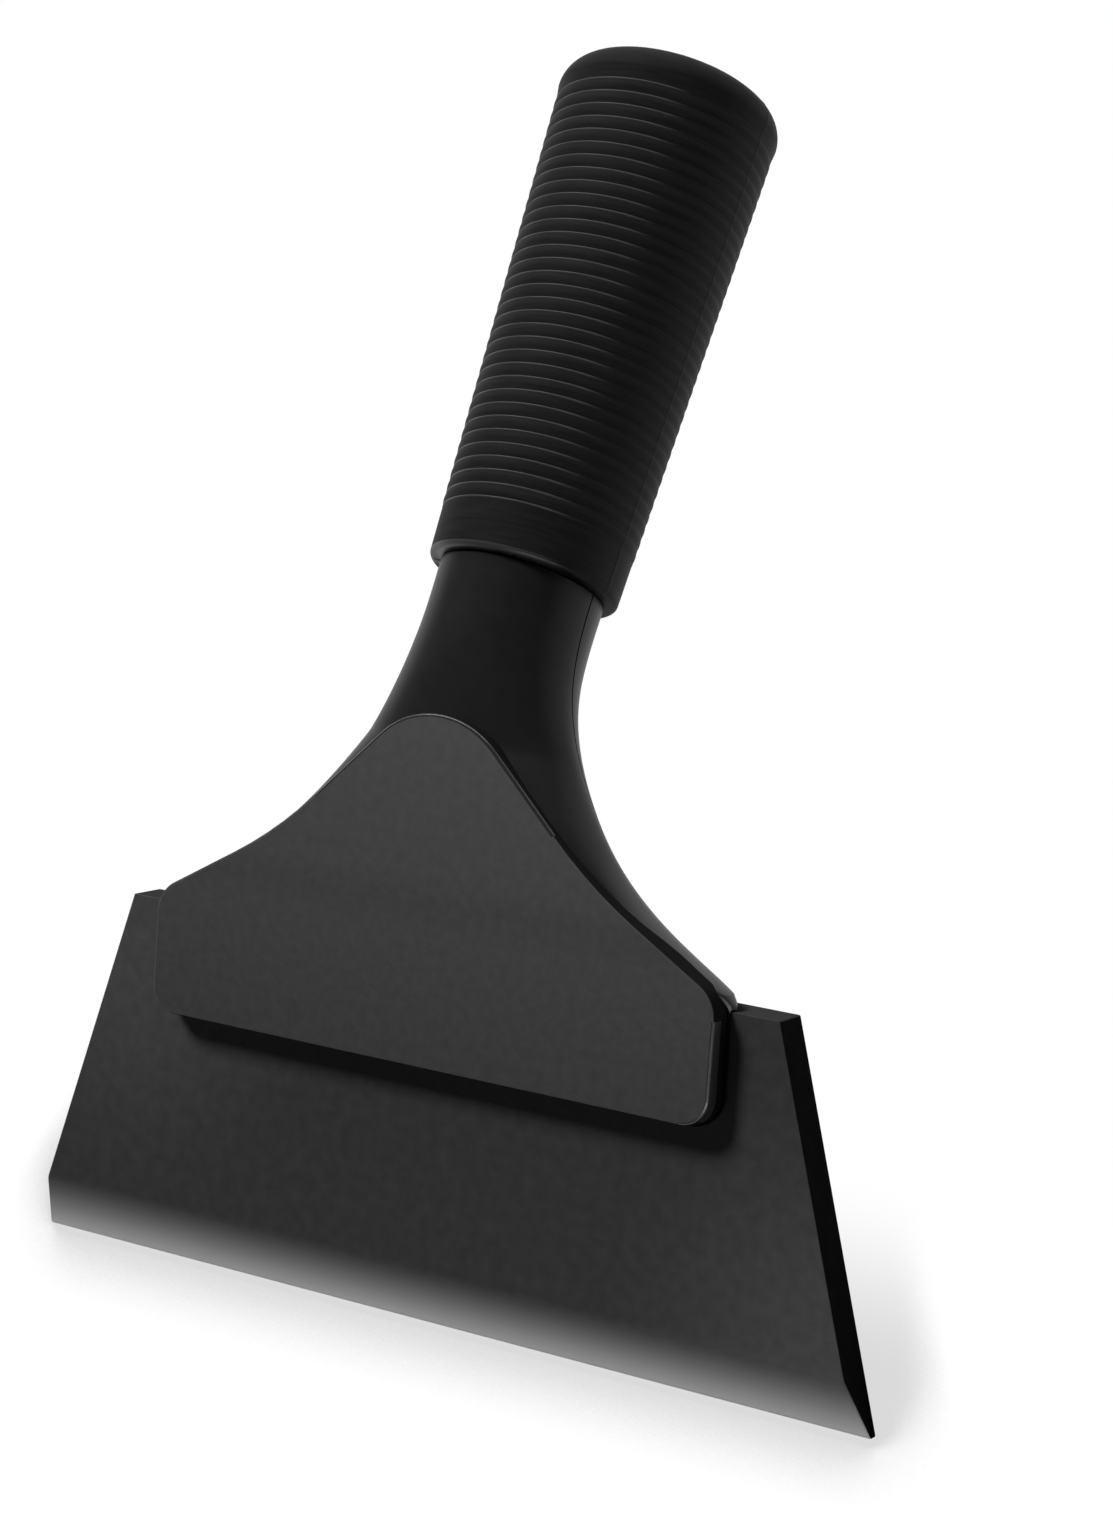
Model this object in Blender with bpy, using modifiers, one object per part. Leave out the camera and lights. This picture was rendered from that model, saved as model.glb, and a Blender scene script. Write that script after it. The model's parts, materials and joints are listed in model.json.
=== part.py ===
"""Window tint squeegee: a bevelled rubber blade clamped between two moulded shells whose
half-round spigots carry a ribbed rubber grip sleeve.

Metres, +Z up. Every shape is worked out in the blade's own frame: X runs along the working
edge, Y runs from the blade's front face to its back, Z rises from the working edge. One empty
then lays the tool on its back, as it lies on a table: it rests on the blade's back edge, whose
middle is the world's origin, and on the end of the grip, which points along +Y.
"""

import math

import bmesh
import bpy
from mathutils import Matrix, Vector

# Blade: a flat rubber trapezoid, wide at its working edge, with a bevel on the front.
BLADE_EDGE_WIDTH = 0.150
BLADE_TOP_WIDTH = 0.1153
BLADE_HEIGHT = 0.058
BLADE_THICKNESS = 0.00635
BEVEL_HEIGHT = 0.0091
TIP_THICKNESS = 0.0016

# Clearances, the one overrun that every cutter has, and how near points must be to join.
SEAT_GAP = 0.0003
OVERRUN = 0.010
MERGE_DISTANCE = 0.000001

# Head: the part of the shells that clamps the top of the blade.
HEAD_WIDTH = 0.1006
CLAMP_HEIGHT = 0.0166
SHOULDER_RISE = 0.0018
SHOULDER_RADIUS = 0.0020

# Land: the flat raised face on each shell, with a rounded rim, a draft and a foot flange.
LAND_RISE = 0.0044
LAND_INSET = 0.0007
LAND_RIM = 0.00045
LAND_DRAFT = 0.00035
FLANGE_HEIGHT = 0.0009
LAND_LOW_CORNER = 0.0044
LAND_SHOULDER_CORNER = 0.0045
LAND_SHOULDER_RISE = 0.0026
LAND_APEX_RISE = 0.0160
LAND_TIP_RADIUS = 0.0145
WAIST_TANGENT_SHARE = 0.365
WAIST_WIDTH_SHARE = 0.56
WAIST_RISE_SHARE = 0.32
BACK_LAND_DROP = 0.0070

# Wings and neck: one form that runs from the head's shoulders to the foot of the sleeve.
WING_RIDGE_DEPTH = 0.0005
WING_BACK_DEPTH = 0.0087
WING_DROP = 0.0033
WING_ROUNDING = 0.0015
ROUNDING_AT_BEND = 0.0105
ROUNDING_POWER = 3.5
LAND_COVER = 0.00015
FLANK_POWER = 2.74
BEND_HEIGHT = 0.084
BEND_TANGENT = 0.019
GRIP_LEAN = math.radians(24.7)
NECK_LENGTH = 0.0311
NECK_HALF_WIDTH = 0.0126
NECK_HALF_DEPTH = 0.0132
NECK_WAIST_DEPTH = 0.0110
NECK_TAKEOFF = 0.010
NECK_FORMED = 0.028
PARTING_START = 0.076
PARTING_END = 0.026
PARTING_PULL = 0.011

# Spigot and sleeve.
SPIGOT_RADIUS = 0.011
SPIGOT_CHAMFER = 0.0012
SLEEVE_LENGTH = 0.0833
SLEEVE_LOW_RADIUS = 0.01472
SLEEVE_TOP_RADIUS = 0.0176
SLEEVE_END_WALL = 0.003
SLEEVE_TOP_ROUNDING = 0.0048
SLEEVE_CROWN = 0.0004
SLEEVE_LOW_ROUNDING = 0.0010
TOP_BAND = 0.0075
COLLAR_BAND = 0.0078
GROOVE_COUNT = 33
GROOVE_WIDTH = 0.0006
GROOVE_DEPTH = 0.0004

# Clamp screws: countersunk M3, through the back shell and the blade into captive nuts.
CLAMP_SCREW_INSET = 0.0163
SCREW_RADIUS = 0.0015
SCREW_POINT = 0.0005
COUNTERSUNK_RADIUS = 0.00275
COUNTERSUNK_HEIGHT = 0.0016
COUNTERSUNK_RIM = 0.0002
HEAD_RECESS = 0.0002
NUT_RADIUS = 0.00318
NUT_THICKNESS = 0.0024
NUT_SINK = 0.0003

# Handle screws: pan heads that draw the two spigot halves together.
HANDLE_SCREW_LENGTH = 0.014
HANDLE_SCREW_SEAT = 0.0065
PAN_HEAD_RADIUS = 0.0028
PAN_HEAD_HEIGHT = 0.0020
PAN_HEAD_ROUNDING = 0.0007
NECK_SCREW_BELOW_COLLAR = 0.0085
SPIGOT_SCREW_BELOW_END = 0.0090

# Cross recess in every screw head.
CROSS_SPAN = 0.0030
CROSS_SLOT = 0.0006
CROSS_DEPTH = 0.0011

# Core pockets that keep the walls of the moulding even.
CORE_WALL = 0.0022
CORE_RIB = 0.0020
CORE_BAYS = 4
CORE_WIDTH = 0.0125
CORE_DEPTH = 0.0140
SCREW_POST_RADIUS = 0.0045
WING_CORE_SPANS_SHARES = ((0.10, 0.36), (0.41, 0.54))
WING_CORE_TOP_STEP = 0.0001

# Facet counts, and the power that crowds the neck's rings towards the shoulders.
SECTION_POINTS = 28
NECK_STATIONS = 18
STATION_POWER = 1.5
PARTING_STEPS = 10
SLEEVE_STEPS = 32
SLEEVE_END_STEPS = 6
SCREW_STEPS = 20
SMALL_ARC_STEPS = 3
ARC_STEP = math.radians(12)
SHARP_ANGLE = math.radians(32)

HEAD_LOW = BLADE_HEIGHT - CLAMP_HEIGHT
BLADE_MIDDLE = BLADE_THICKNESS / 2
SHOULDER_HEIGHT = BLADE_HEIGHT + SHOULDER_RISE
CLAMP_SCREW_HEIGHT = BLADE_HEIGHT - CLAMP_HEIGHT / 2
CLAMP_SCREW_PITCH = HEAD_WIDTH / 2 - CLAMP_SCREW_INSET
NUT_FAR_FACE = SEAT_GAP + NUT_SINK + NUT_THICKNESS
CLAMP_SCREW_LENGTH = BLADE_THICKNESS + LAND_RISE - HEAD_RECESS + NUT_FAR_FACE
BEND_RADIUS = BEND_TANGENT / math.tan(GRIP_LEAN / 2)
BEND_PATH = BEND_HEIGHT - SHOULDER_HEIGHT
RISE_TO_BEND = BEND_PATH - BEND_TANGENT
BEND_LENGTH = BEND_RADIUS * GRIP_LEAN
NECK_PATH = RISE_TO_BEND + BEND_LENGTH + NECK_LENGTH - BEND_TANGENT
SLEEVE_START = NECK_LENGTH + SEAT_GAP
SPIGOT_END = SLEEVE_START + SLEEVE_LENGTH - SLEEVE_END_WALL - SEAT_GAP
NECK_SCREW_PLACE = SLEEVE_START - NECK_SCREW_BELOW_COLLAR
SPIGOT_SCREW_PLACE = SPIGOT_END - SPIGOT_SCREW_BELOW_END

ALONG = Vector((0, math.sin(GRIP_LEAN), math.cos(GRIP_LEAN)))
BEND_POINT = Vector((0, BLADE_MIDDLE, BEND_HEIGHT))
ACROSS = Vector((0, math.cos(GRIP_LEAN), -math.sin(GRIP_LEAN)))
WORKING_EDGE = Vector((0, BLADE_THICKNESS, 0))


def clear_scene():
    for old in list(bpy.data.objects):
        bpy.data.objects.remove(old, do_unlink=True)


def new_collection(name):
    made = bpy.data.collections.new(name)
    bpy.context.scene.collection.children.link(made)
    return made


def material(name, colour, roughness, metallic=0.0):
    made = bpy.data.materials.new(name)
    made.use_nodes = True
    shader = made.node_tree.nodes["Principled BSDF"]
    shader.inputs["Base Color"].default_value = (*colour, 1.0)
    shader.inputs["Roughness"].default_value = roughness
    shader.inputs["Metallic"].default_value = metallic
    return made


def moulded_plastic():
    return material("black_moulded_nylon", (0.012, 0.012, 0.013), 0.46)


def blade_rubber():
    return material("black_blade_rubber", (0.016, 0.016, 0.017), 0.62)


def sleeve_rubber():
    return material("soft_grip_rubber", (0.013, 0.013, 0.014), 0.55)


def screw_steel():
    return material("blackened_steel", (0.055, 0.055, 0.058), 0.38, 1.0)


def nut_brass():
    return material("nut_brass", (0.62, 0.43, 0.16), 0.35, 1.0)


def add_object(name, mesh, place=Matrix.Identity(4)):
    """A new object from a mesh, in the blade's frame."""
    made = bpy.data.objects.new(name, mesh)
    made.matrix_world = place
    return made


def add_piece(name, mesh, surface, place=Matrix.Identity(4)):
    """A real piece of the tool, hung on the empty that sets the world's origin."""
    made = add_object(name, mesh, place)
    pieces.objects.link(made)
    made.parent = tool
    if surface.name not in [slot.name for slot in mesh.materials if slot]:
        mesh.materials.append(surface)
    mesh.shade_smooth()
    mesh.set_sharp_from_angle(angle=SHARP_ANGLE)
    return made


def add_cutter(name, mesh, place=Matrix.Identity(4)):
    made = add_object(name, mesh, place)
    cutters.objects.link(made)
    made.parent = tool
    made.hide_render = True
    made.display_type = "WIRE"
    return made


def boolean(piece, operation, other):
    step = piece.modifiers.new(f"{operation.lower()}_{other.name}", "BOOLEAN")
    step.operation = operation
    step.object = other
    step.solver = "EXACT"


def mesh_from(name, build):
    """Runs build on an empty bmesh and stores what it makes, with its faces pointing out."""
    shape = bmesh.new()
    build(shape)
    bmesh.ops.recalc_face_normals(shape, faces=shape.faces)
    mesh = bpy.data.meshes.new(name)
    shape.to_mesh(mesh)
    shape.free()
    return mesh


def loft(name, rings):
    """A closed skin through rings that have the same number of points."""

    def build(shape):
        rows = [[shape.verts.new(point) for point in ring] for ring in rings]
        count = len(rows[0])
        for low, high in zip(rows, rows[1:]):
            for i in range(count):
                j = (i + 1) % count
                shape.faces.new((low[i], low[j], high[j], high[i]))
        shape.faces.new(rows[0])
        shape.faces.new(rows[-1])

    return mesh_from(name, build)


def side_prism(name, outline):
    """A prism across the whole tool over an outline of (y, z) points."""
    reach = BLADE_EDGE_WIDTH / 2 + OVERRUN
    return loft(name, [[(x, y, z) for y, z in outline] for x in (-reach, reach)])


def boxes(name, spans):
    """One mesh of separate boxes, each given as its low corner, high corner and frame."""

    def build(shape):
        for low, high, frame in spans:
            size = high - low
            place = frame @ Matrix.Translation((low + high) / 2) @ Matrix.Diagonal((*size, 1))
            bmesh.ops.create_cube(shape, size=1, matrix=place)

    return mesh_from(name, build)


def rods(name, radius, length, frames, sides=SCREW_STEPS):
    """One mesh of separate upright rods, each starting at its frame and running up its Z."""

    def build(shape):
        for frame in frames:
            bmesh.ops.create_cone(
                shape, cap_ends=True, segments=sides, radius1=radius, radius2=radius,
                depth=length, matrix=frame @ Matrix.Translation((0, 0, length / 2)),
            )

    return mesh_from(name, build)


def turned(name, profile, steps, surface=None, place=Matrix.Identity(4)):
    """A turned piece or, with no surface, a turned cutter. The profile runs down its outside."""

    mesh = bpy.data.meshes.new(name)
    points = [(radius, 0, height) for radius, height in profile]
    mesh.from_pydata(points, [(i, i + 1) for i in range(len(points) - 1)], [])
    made = add_piece(name, mesh, surface, place) if surface else add_cutter(name, mesh, place)
    spin = made.modifiers.new("turn", "SCREW")
    spin.steps = steps
    spin.render_steps = steps
    spin.use_merge_vertices = True
    spin.merge_threshold = MERGE_DISTANCE
    spin.use_smooth_shade = True
    return made


def arc(centre, radius, start, end, steps):
    """Points on an arc, each as (across, up), angles in radians from the first axis."""
    turn = (end - start) / steps
    angles = [start + turn * i for i in range(steps + 1)]
    return [(centre[0] + radius * math.cos(a), centre[1] + radius * math.sin(a)) for a in angles]


def rounded_outline(corners):
    """A closed (x, z) outline whose corners, given as (x, z, radius), are rounded by arcs."""
    outline = []
    for i, (x, z, radius) in enumerate(corners):
        here = Vector((x, z))
        before = Vector(corners[i - 1][:2]) - here
        after = Vector(corners[(i + 1) % len(corners)][:2]) - here
        half = before.angle(after) / 2
        inwards = (before.normalized() + after.normalized()).normalized()
        middle = here + inwards * (radius / math.sin(half))
        foot = here + before.normalized() * (radius / math.tan(half)) - middle
        turn = math.pi - 2 * half
        if before.x * after.y - before.y * after.x > 0:
            turn = -turn
        steps = max(2, math.ceil(abs(turn) / ARC_STEP))
        for k in range(steps + 1):
            spoke = Matrix.Rotation(turn * k / steps, 2) @ foot
            outline.append(middle + spoke)
    return outline


def offset_outline(outline, distance):
    """The outline moved outwards by a distance. Its points run anticlockwise."""
    moved = []
    for i, point in enumerate(outline):
        run = (outline[(i + 1) % len(outline)] - outline[i - 1]).normalized()
        moved.append(point + Vector((run.y, -run.x)) * distance)
    return moved


def land_corners():
    """The (x, z) of the land's right corners at its face: low, shoulder, waist and apex."""
    half = HEAD_WIDTH / 2 - LAND_INSET
    shoulder = BLADE_HEIGHT + LAND_SHOULDER_RISE
    apex = BEND_HEIGHT + LAND_APEX_RISE
    waist = (half * WAIST_WIDTH_SHARE, shoulder + (apex - shoulder) * WAIST_RISE_SHARE)
    return (half, HEAD_LOW), (half, shoulder), waist, (0, apex)


def land_outline(drop):
    """The land's outline at its face, the part above the clamp lowered by drop."""
    low, shoulder, waist, apex = (Vector(corner) for corner in land_corners())
    fall, climb = shoulder - waist, apex - waist
    waist_radius = WAIST_TANGENT_SHARE * fall.length * math.tan(fall.angle(climb) / 2)
    right = [
        (*low, LAND_LOW_CORNER),
        (shoulder[0], shoulder[1] - drop, LAND_SHOULDER_CORNER),
        (waist[0], waist[1] - drop, waist_radius),
    ]
    left = [(-x, z, radius) for x, z, radius in reversed(right)]
    return rounded_outline([*right, (0, apex[1] - drop, LAND_TIP_RADIUS), *left])


def land_mesh(name, face, inward, drop):
    """The land as a drafted plateau. inward is +1 from the front face and -1 from the back."""
    outline = land_outline(drop)
    foot = LAND_RISE - FLANGE_HEIGHT
    steps = (
        (0, -LAND_RIM),
        (LAND_RIM - LAND_RIM * math.cos(math.pi / 4), LAND_RIM * math.sin(math.pi / 4) - LAND_RIM),
        (LAND_RIM, 0),
        (foot, LAND_DRAFT),
        (foot, LAND_INSET),
        (LAND_RISE + SEAT_GAP, LAND_INSET),
    )
    rings = []
    for depth, spread in steps:
        ring = offset_outline(outline, spread)
        rings.append([(point.x, face + inward * depth, point.y) for point in ring])
    return loft(name, rings)


def ease(value, start, end):
    """Runs smoothly from 0 at start to 1 at end."""
    share = min(max((value - start) / (end - start), 0), 1)
    return share * share * (3 - 2 * share)


def centre_line(path):
    """The form's centre and lean at a distance up from the shoulders."""
    towards_ridge = (BLADE_MIDDLE - WING_RIDGE_DEPTH) * (1 - ease(path, 0, BEND_PATH))
    if path <= RISE_TO_BEND:
        return Vector((0, BLADE_MIDDLE - towards_ridge, SHOULDER_HEIGHT + path)), 0.0
    if path <= RISE_TO_BEND + BEND_LENGTH:
        lean = (path - RISE_TO_BEND) / BEND_RADIUS
        y = BLADE_MIDDLE - towards_ridge + BEND_RADIUS * (1 - math.cos(lean))
        z = SHOULDER_HEIGHT + RISE_TO_BEND + BEND_RADIUS * math.sin(lean)
        return Vector((0, y, z)), lean
    along = path - RISE_TO_BEND - BEND_LENGTH + BEND_TANGENT
    return BEND_POINT + ALONG * along, GRIP_LEAN


def flank_half_width(path):
    """Half the form's width: straight sides, a round shoulder, then a concave flank."""
    wide = HEAD_WIDTH / 2
    slope = FLANK_POWER * (wide - NECK_HALF_WIDTH) / NECK_PATH
    turn = math.atan(slope)
    tangent = SHOULDER_RADIUS * math.tan(turn / 2)
    if path <= -tangent:
        return wide
    if path < tangent * math.cos(turn):
        return wide - SHOULDER_RADIUS + math.sqrt(SHOULDER_RADIUS**2 - (path + tangent) ** 2)
    share = min(path / NECK_PATH, 1.0)
    return NECK_HALF_WIDTH + (wide - NECK_HALF_WIDTH) * (1 - share) ** FLANK_POWER


def ring(path, half_width, front, back, rounding):
    """A ring of points square to the centre line: an elliptic back, and a front that is flat
    between ends rounded over the given length."""
    centre, lean = centre_line(path)
    backwards = Vector((0, math.cos(lean), -math.sin(lean)))
    points = []
    for i in range(SECTION_POINTS):
        angle = 2 * math.pi * i / SECTION_POINTS
        across = half_width * math.cos(angle)
        depth = back * math.sin(angle)
        if math.sin(angle) < 0:
            flat = half_width - rounding
            across = math.copysign(flat, math.cos(angle)) + rounding * math.cos(angle)
            depth = front * math.sin(angle)
        points.append(centre + Vector((across, 0, 0)) + backwards * depth)
    return points


def form_ring(path):
    """The outer form's ring at a distance up from the shoulders."""
    half_width = flank_half_width(path)
    centre, lean = centre_line(path)
    formed = ease(path, NECK_TAKEOFF, NECK_FORMED)
    bend_share = max(path, 0) / BEND_PATH
    neck_share = (path - NECK_FORMED) / (NECK_PATH - NECK_FORMED)
    neck_depth = NECK_WAIST_DEPTH + (NECK_HALF_DEPTH - NECK_WAIST_DEPTH) * neck_share
    behind_land = centre.y + LAND_RISE - LAND_COVER - WING_DROP * (1 - formed)
    front = min(behind_land / math.cos(lean), neck_depth)
    back = WING_BACK_DEPTH + (neck_depth - WING_BACK_DEPTH) * formed
    rounding = WING_ROUNDING + ROUNDING_AT_BEND * bend_share**ROUNDING_POWER
    return ring(path, half_width, front, back, min(half_width, rounding))


def body_form(name):
    """Wings, neck and spigot as one loft, from inside the clamp to the spigot's end."""
    start = CLAMP_SCREW_HEIGHT - SHOULDER_HEIGHT
    paths = [start, -SHOULDER_RADIUS, -SHOULDER_RADIUS / 4, SHOULDER_RADIUS / 4]
    stations = range(2, NECK_STATIONS + 1)
    paths += [NECK_PATH * (i / NECK_STATIONS) ** STATION_POWER for i in stations]
    rings = [form_ring(path) for path in paths]
    tip = NECK_PATH + SPIGOT_END - NECK_LENGTH
    turned_rings = (
        (NECK_PATH, SPIGOT_RADIUS),
        (tip - SPIGOT_CHAMFER, SPIGOT_RADIUS),
        (tip, SPIGOT_RADIUS - SPIGOT_CHAMFER),
    )
    for path, radius in turned_rings:
        rings.append(ring(path, radius, radius, radius, radius))
    return loft(name, rings)


def parting_line():
    """The (y, z) line where the shells meet, from behind the blade up to the spigot's end."""
    low = Vector((BLADE_THICKNESS + SEAT_GAP / 2, PARTING_START))
    high_point = BEND_POINT + ALONG * PARTING_END
    high = Vector((high_point.y, high_point.z))
    lean = Vector((ALONG.y, ALONG.z))
    pull_low = low + Vector((0, PARTING_PULL))
    pull_high = high - lean * PARTING_PULL
    line = [(low, 0.0)]
    for i in range(1, PARTING_STEPS + 1):
        t = i / PARTING_STEPS
        a, b, c, d = (1 - t) ** 3, 3 * t * (1 - t) ** 2, 3 * t * t * (1 - t), t**3
        point = a * low + b * pull_low + c * pull_high + d * high
        line.append((point, GRIP_LEAN * t))
    end = BEND_POINT + ALONG * (SPIGOT_END + OVERRUN)
    line.append((Vector((end.y, end.z)), GRIP_LEAN))
    return line


def shell_side(side):
    """The region that holds one shell. side is -1 for the front shell and +1 for the back."""
    line = []
    for point, lean in parting_line():
        line.append(point + Vector((math.cos(lean), -math.sin(lean))) * (side * SEAT_GAP / 2))
    low = HEAD_LOW - OVERRUN
    far = side * (NECK_HALF_DEPTH + BLADE_HEIGHT)
    if side < 0:
        clear = BLADE_HEIGHT + SEAT_GAP
        foot = [(-SEAT_GAP, low), (-SEAT_GAP, clear), (line[0].x, clear)]
    else:
        foot = [(line[0].x, low)]
    top = line[-1]
    outline = [*foot, *[(p.x, p.y) for p in line], (top.x + far, top.y), (far, low)]
    return side_prism("front_side" if side < 0 else "back_side", outline)


def facing_back(point, lean):
    """A frame at a point whose Z axis points out of the tool's back."""
    return Matrix.Translation(point) @ Matrix.Rotation(-math.pi / 2 - lean, 4, "X")


def clamp_frames():
    """Frames on the blade's front face at the clamp screws, Z out of the back."""
    places = [(-CLAMP_SCREW_PITCH, "left"), (0, "middle"), (CLAMP_SCREW_PITCH, "right")]
    return {name: facing_back(Vector((x, 0, CLAMP_SCREW_HEIGHT)), 0) for x, name in places}


def handle_frames():
    """Frames on the grip's axis at the handle screws, Z out of the back."""
    places = (("neck", NECK_SCREW_PLACE), ("spigot", SPIGOT_SCREW_PLACE))
    return {name: facing_back(BEND_POINT + ALONG * place, GRIP_LEAN) for name, place in places}


def core_bays():
    """The (start, end) of each core pocket along the grip's axis, clear of the screw posts."""
    start = NECK_SCREW_PLACE + SCREW_POST_RADIUS
    end = SPIGOT_SCREW_PLACE - SCREW_POST_RADIUS
    pitch = (end - start + CORE_RIB) / CORE_BAYS
    bays = [(start + pitch * i, start + pitch * (i + 1) - CORE_RIB) for i in range(CORE_BAYS)]
    neck_end = NECK_SCREW_PLACE - SCREW_POST_RADIUS
    return [(0, neck_end), *bays]


def land_edge_height(x):
    """The height of the land's sloping edge, corner to corner, at a distance off centre."""
    low, *corners = land_corners()
    for (wide, bottom), (narrow, top) in zip(corners, corners[1:]):
        if x >= narrow:
            return bottom + (top - bottom) * (wide - x) / (wide - narrow)
    return corners[-1][1]


def covered_half_width(path):
    """Half the width that the back shell covers, at a distance up from the shoulders."""
    centre, _ = centre_line(path)
    depth = BLADE_THICKNESS + SEAT_GAP - centre.y
    return flank_half_width(path) * math.sqrt(1 - (depth / WING_BACK_DEPTH) ** 2)


def wing_core_top(x):
    """The height that keeps a pocket's top corner a wall inside the land and the back shell."""
    edge = x + CORE_WALL
    top = land_edge_height(edge) - CORE_WALL
    while covered_half_width(top - SHOULDER_HEIGHT) < edge:
        top -= WING_CORE_TOP_STEP
    return top


def core_cutter():
    """Core pockets: in the front shell's wings, open to the back, and through both halves of
    neck and spigot, open where the halves meet."""
    spans = []
    half = Vector((CORE_WIDTH / 2, CORE_DEPTH / 2, 0))
    frame = Matrix.Translation(BEND_POINT) @ Matrix.Rotation(-GRIP_LEAN, 4, "X")
    for start, end in core_bays():
        spans.append((Vector((-half.x, -half.y, start)), Vector((half.x, half.y, end)), frame))
    front = -LAND_RISE + CORE_WALL
    back = BLADE_THICKNESS + SEAT_GAP / 2
    low = BLADE_HEIGHT + SEAT_GAP + CORE_WALL
    wide = HEAD_WIDTH / 2
    for inner, outer in WING_CORE_SPANS_SHARES:
        high = wing_core_top(wide * outer)
        for sign in (-1, 1):
            xs = sorted((sign * wide * inner, sign * wide * outer))
            spans.append((Vector((xs[0], front, low)), Vector((xs[1], back, high)), Matrix()))
    return add_cutter("cores", boxes("cores", spans))


def countersink_profile():
    """The hole of a clamp screw in the back shell, from above its head down."""
    wide = COUNTERSUNK_RADIUS + SEAT_GAP
    hole = SCREW_RADIUS + SEAT_GAP
    rim = -HEAD_RECESS - COUNTERSUNK_RIM
    return [
        (0, OVERRUN),
        (wide, OVERRUN),
        (wide, rim),
        (hole, rim - COUNTERSUNK_HEIGHT),
        (hole, -LAND_RISE - OVERRUN),
        (0, -LAND_RISE - OVERRUN),
    ]


def counterbore_profile():
    """The hole of a handle screw in the back shell, about the grip's axis."""
    wide = PAN_HEAD_RADIUS + SEAT_GAP
    hole = SCREW_RADIUS + SEAT_GAP
    seat = HANDLE_SCREW_SEAT - SEAT_GAP
    return [
        (0, NECK_HALF_DEPTH + OVERRUN),
        (wide, NECK_HALF_DEPTH + OVERRUN),
        (wide, seat),
        (hole, seat),
        (hole, -SEAT_GAP),
        (0, -SEAT_GAP),
    ]


def resting_tilt():
    """The blade's angle to the table, which touches the sleeve on its rounded end."""
    rise = SLEEVE_START + SLEEVE_LENGTH - SLEEVE_CROWN - SLEEVE_TOP_ROUNDING
    spread = SLEEVE_TOP_RADIUS - SLEEVE_TOP_ROUNDING
    rounding_centre = BEND_POINT + ALONG * rise + ACROSS * spread
    reach = rounding_centre - WORKING_EDGE
    return math.atan2(reach.y, reach.z) + math.asin(SLEEVE_TOP_ROUNDING / reach.length)


def lay_on_table():
    """Turns the tool about its working edge until blade and grip both lie on the table."""
    turn = Matrix.Rotation(resting_tilt() - math.pi / 2, 4, "X")
    tool.matrix_world = turn @ Matrix.Translation(-WORKING_EDGE)


def make_blade():
    """The blade, lofted from its thin tip through the bevel's top to its top edge."""
    back = BLADE_THICKNESS
    taper = (BLADE_EDGE_WIDTH - BLADE_TOP_WIDTH) / 2 / BLADE_HEIGHT
    levels = (
        (0, back - TIP_THICKNESS),
        (BEVEL_HEIGHT, 0),
        (BLADE_HEIGHT, 0),
    )
    rings = []
    for z, front in levels:
        half = BLADE_EDGE_WIDTH / 2 - taper * z
        rings.append([(-half, front, z), (half, front, z), (half, back, z), (-half, back, z)])
    blade = add_piece("blade", loft("blade", rings), blade_rubber())
    frames = [frame @ Matrix.Translation((0, 0, -OVERRUN)) for frame in clamp_frames().values()]
    length = BLADE_THICKNESS + 2 * OVERRUN
    holes = add_cutter("blade_holes", rods("blade_holes", SCREW_RADIUS + SEAT_GAP, length, frames))
    boolean(blade, "DIFFERENCE", holes)


def make_front_shell(cores):
    """Front land, wings, front half of neck and spigot, with nut pockets and pilot holes."""
    shell = add_piece("front_shell", body_form("front_shell"), moulded_plastic())
    boolean(shell, "UNION", add_cutter("front_land", land_mesh("front_land", -LAND_RISE, 1, 0)))
    boolean(shell, "INTERSECT", add_cutter("front_side", shell_side(-1)))
    boolean(shell, "DIFFERENCE", cores)
    sink = NUT_FAR_FACE + SEAT_GAP
    frames = [frame @ Matrix.Translation((0, 0, -sink)) for frame in clamp_frames().values()]
    pockets = rods("nut_pockets", NUT_RADIUS + SEAT_GAP, sink + OVERRUN, frames, sides=6)
    boolean(shell, "DIFFERENCE", add_cutter("nut_pockets", pockets))
    reach = HANDLE_SCREW_LENGTH - HANDLE_SCREW_SEAT + 2 * SEAT_GAP
    frames = [frame @ Matrix.Translation((0, 0, -reach)) for frame in handle_frames().values()]
    pilots = rods("pilot_holes", SCREW_RADIUS + SEAT_GAP, reach + SPIGOT_RADIUS, frames)
    boolean(shell, "DIFFERENCE", add_cutter("pilot_holes", pilots))


def make_back_shell(cores):
    """Back land, back half of neck and spigot, with countersinks and counterbores."""
    face = BLADE_THICKNESS + LAND_RISE
    shell = add_piece("back_shell", body_form("back_shell"), moulded_plastic())
    boolean(shell, "UNION", add_cutter("back_land", land_mesh("back_land", face, -1, BACK_LAND_DROP)))
    boolean(shell, "INTERSECT", add_cutter("back_side", shell_side(1)))
    boolean(shell, "DIFFERENCE", cores)
    for name, frame in clamp_frames().items():
        place = frame @ Matrix.Translation((0, 0, face))
        hole = turned(f"countersink_{name}", countersink_profile(), SCREW_STEPS, None, place)
        boolean(shell, "DIFFERENCE", hole)
    for name, frame in handle_frames().items():
        hole = turned(f"counterbore_{name}", counterbore_profile(), SCREW_STEPS, None, frame)
        boolean(shell, "DIFFERENCE", hole)


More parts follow.
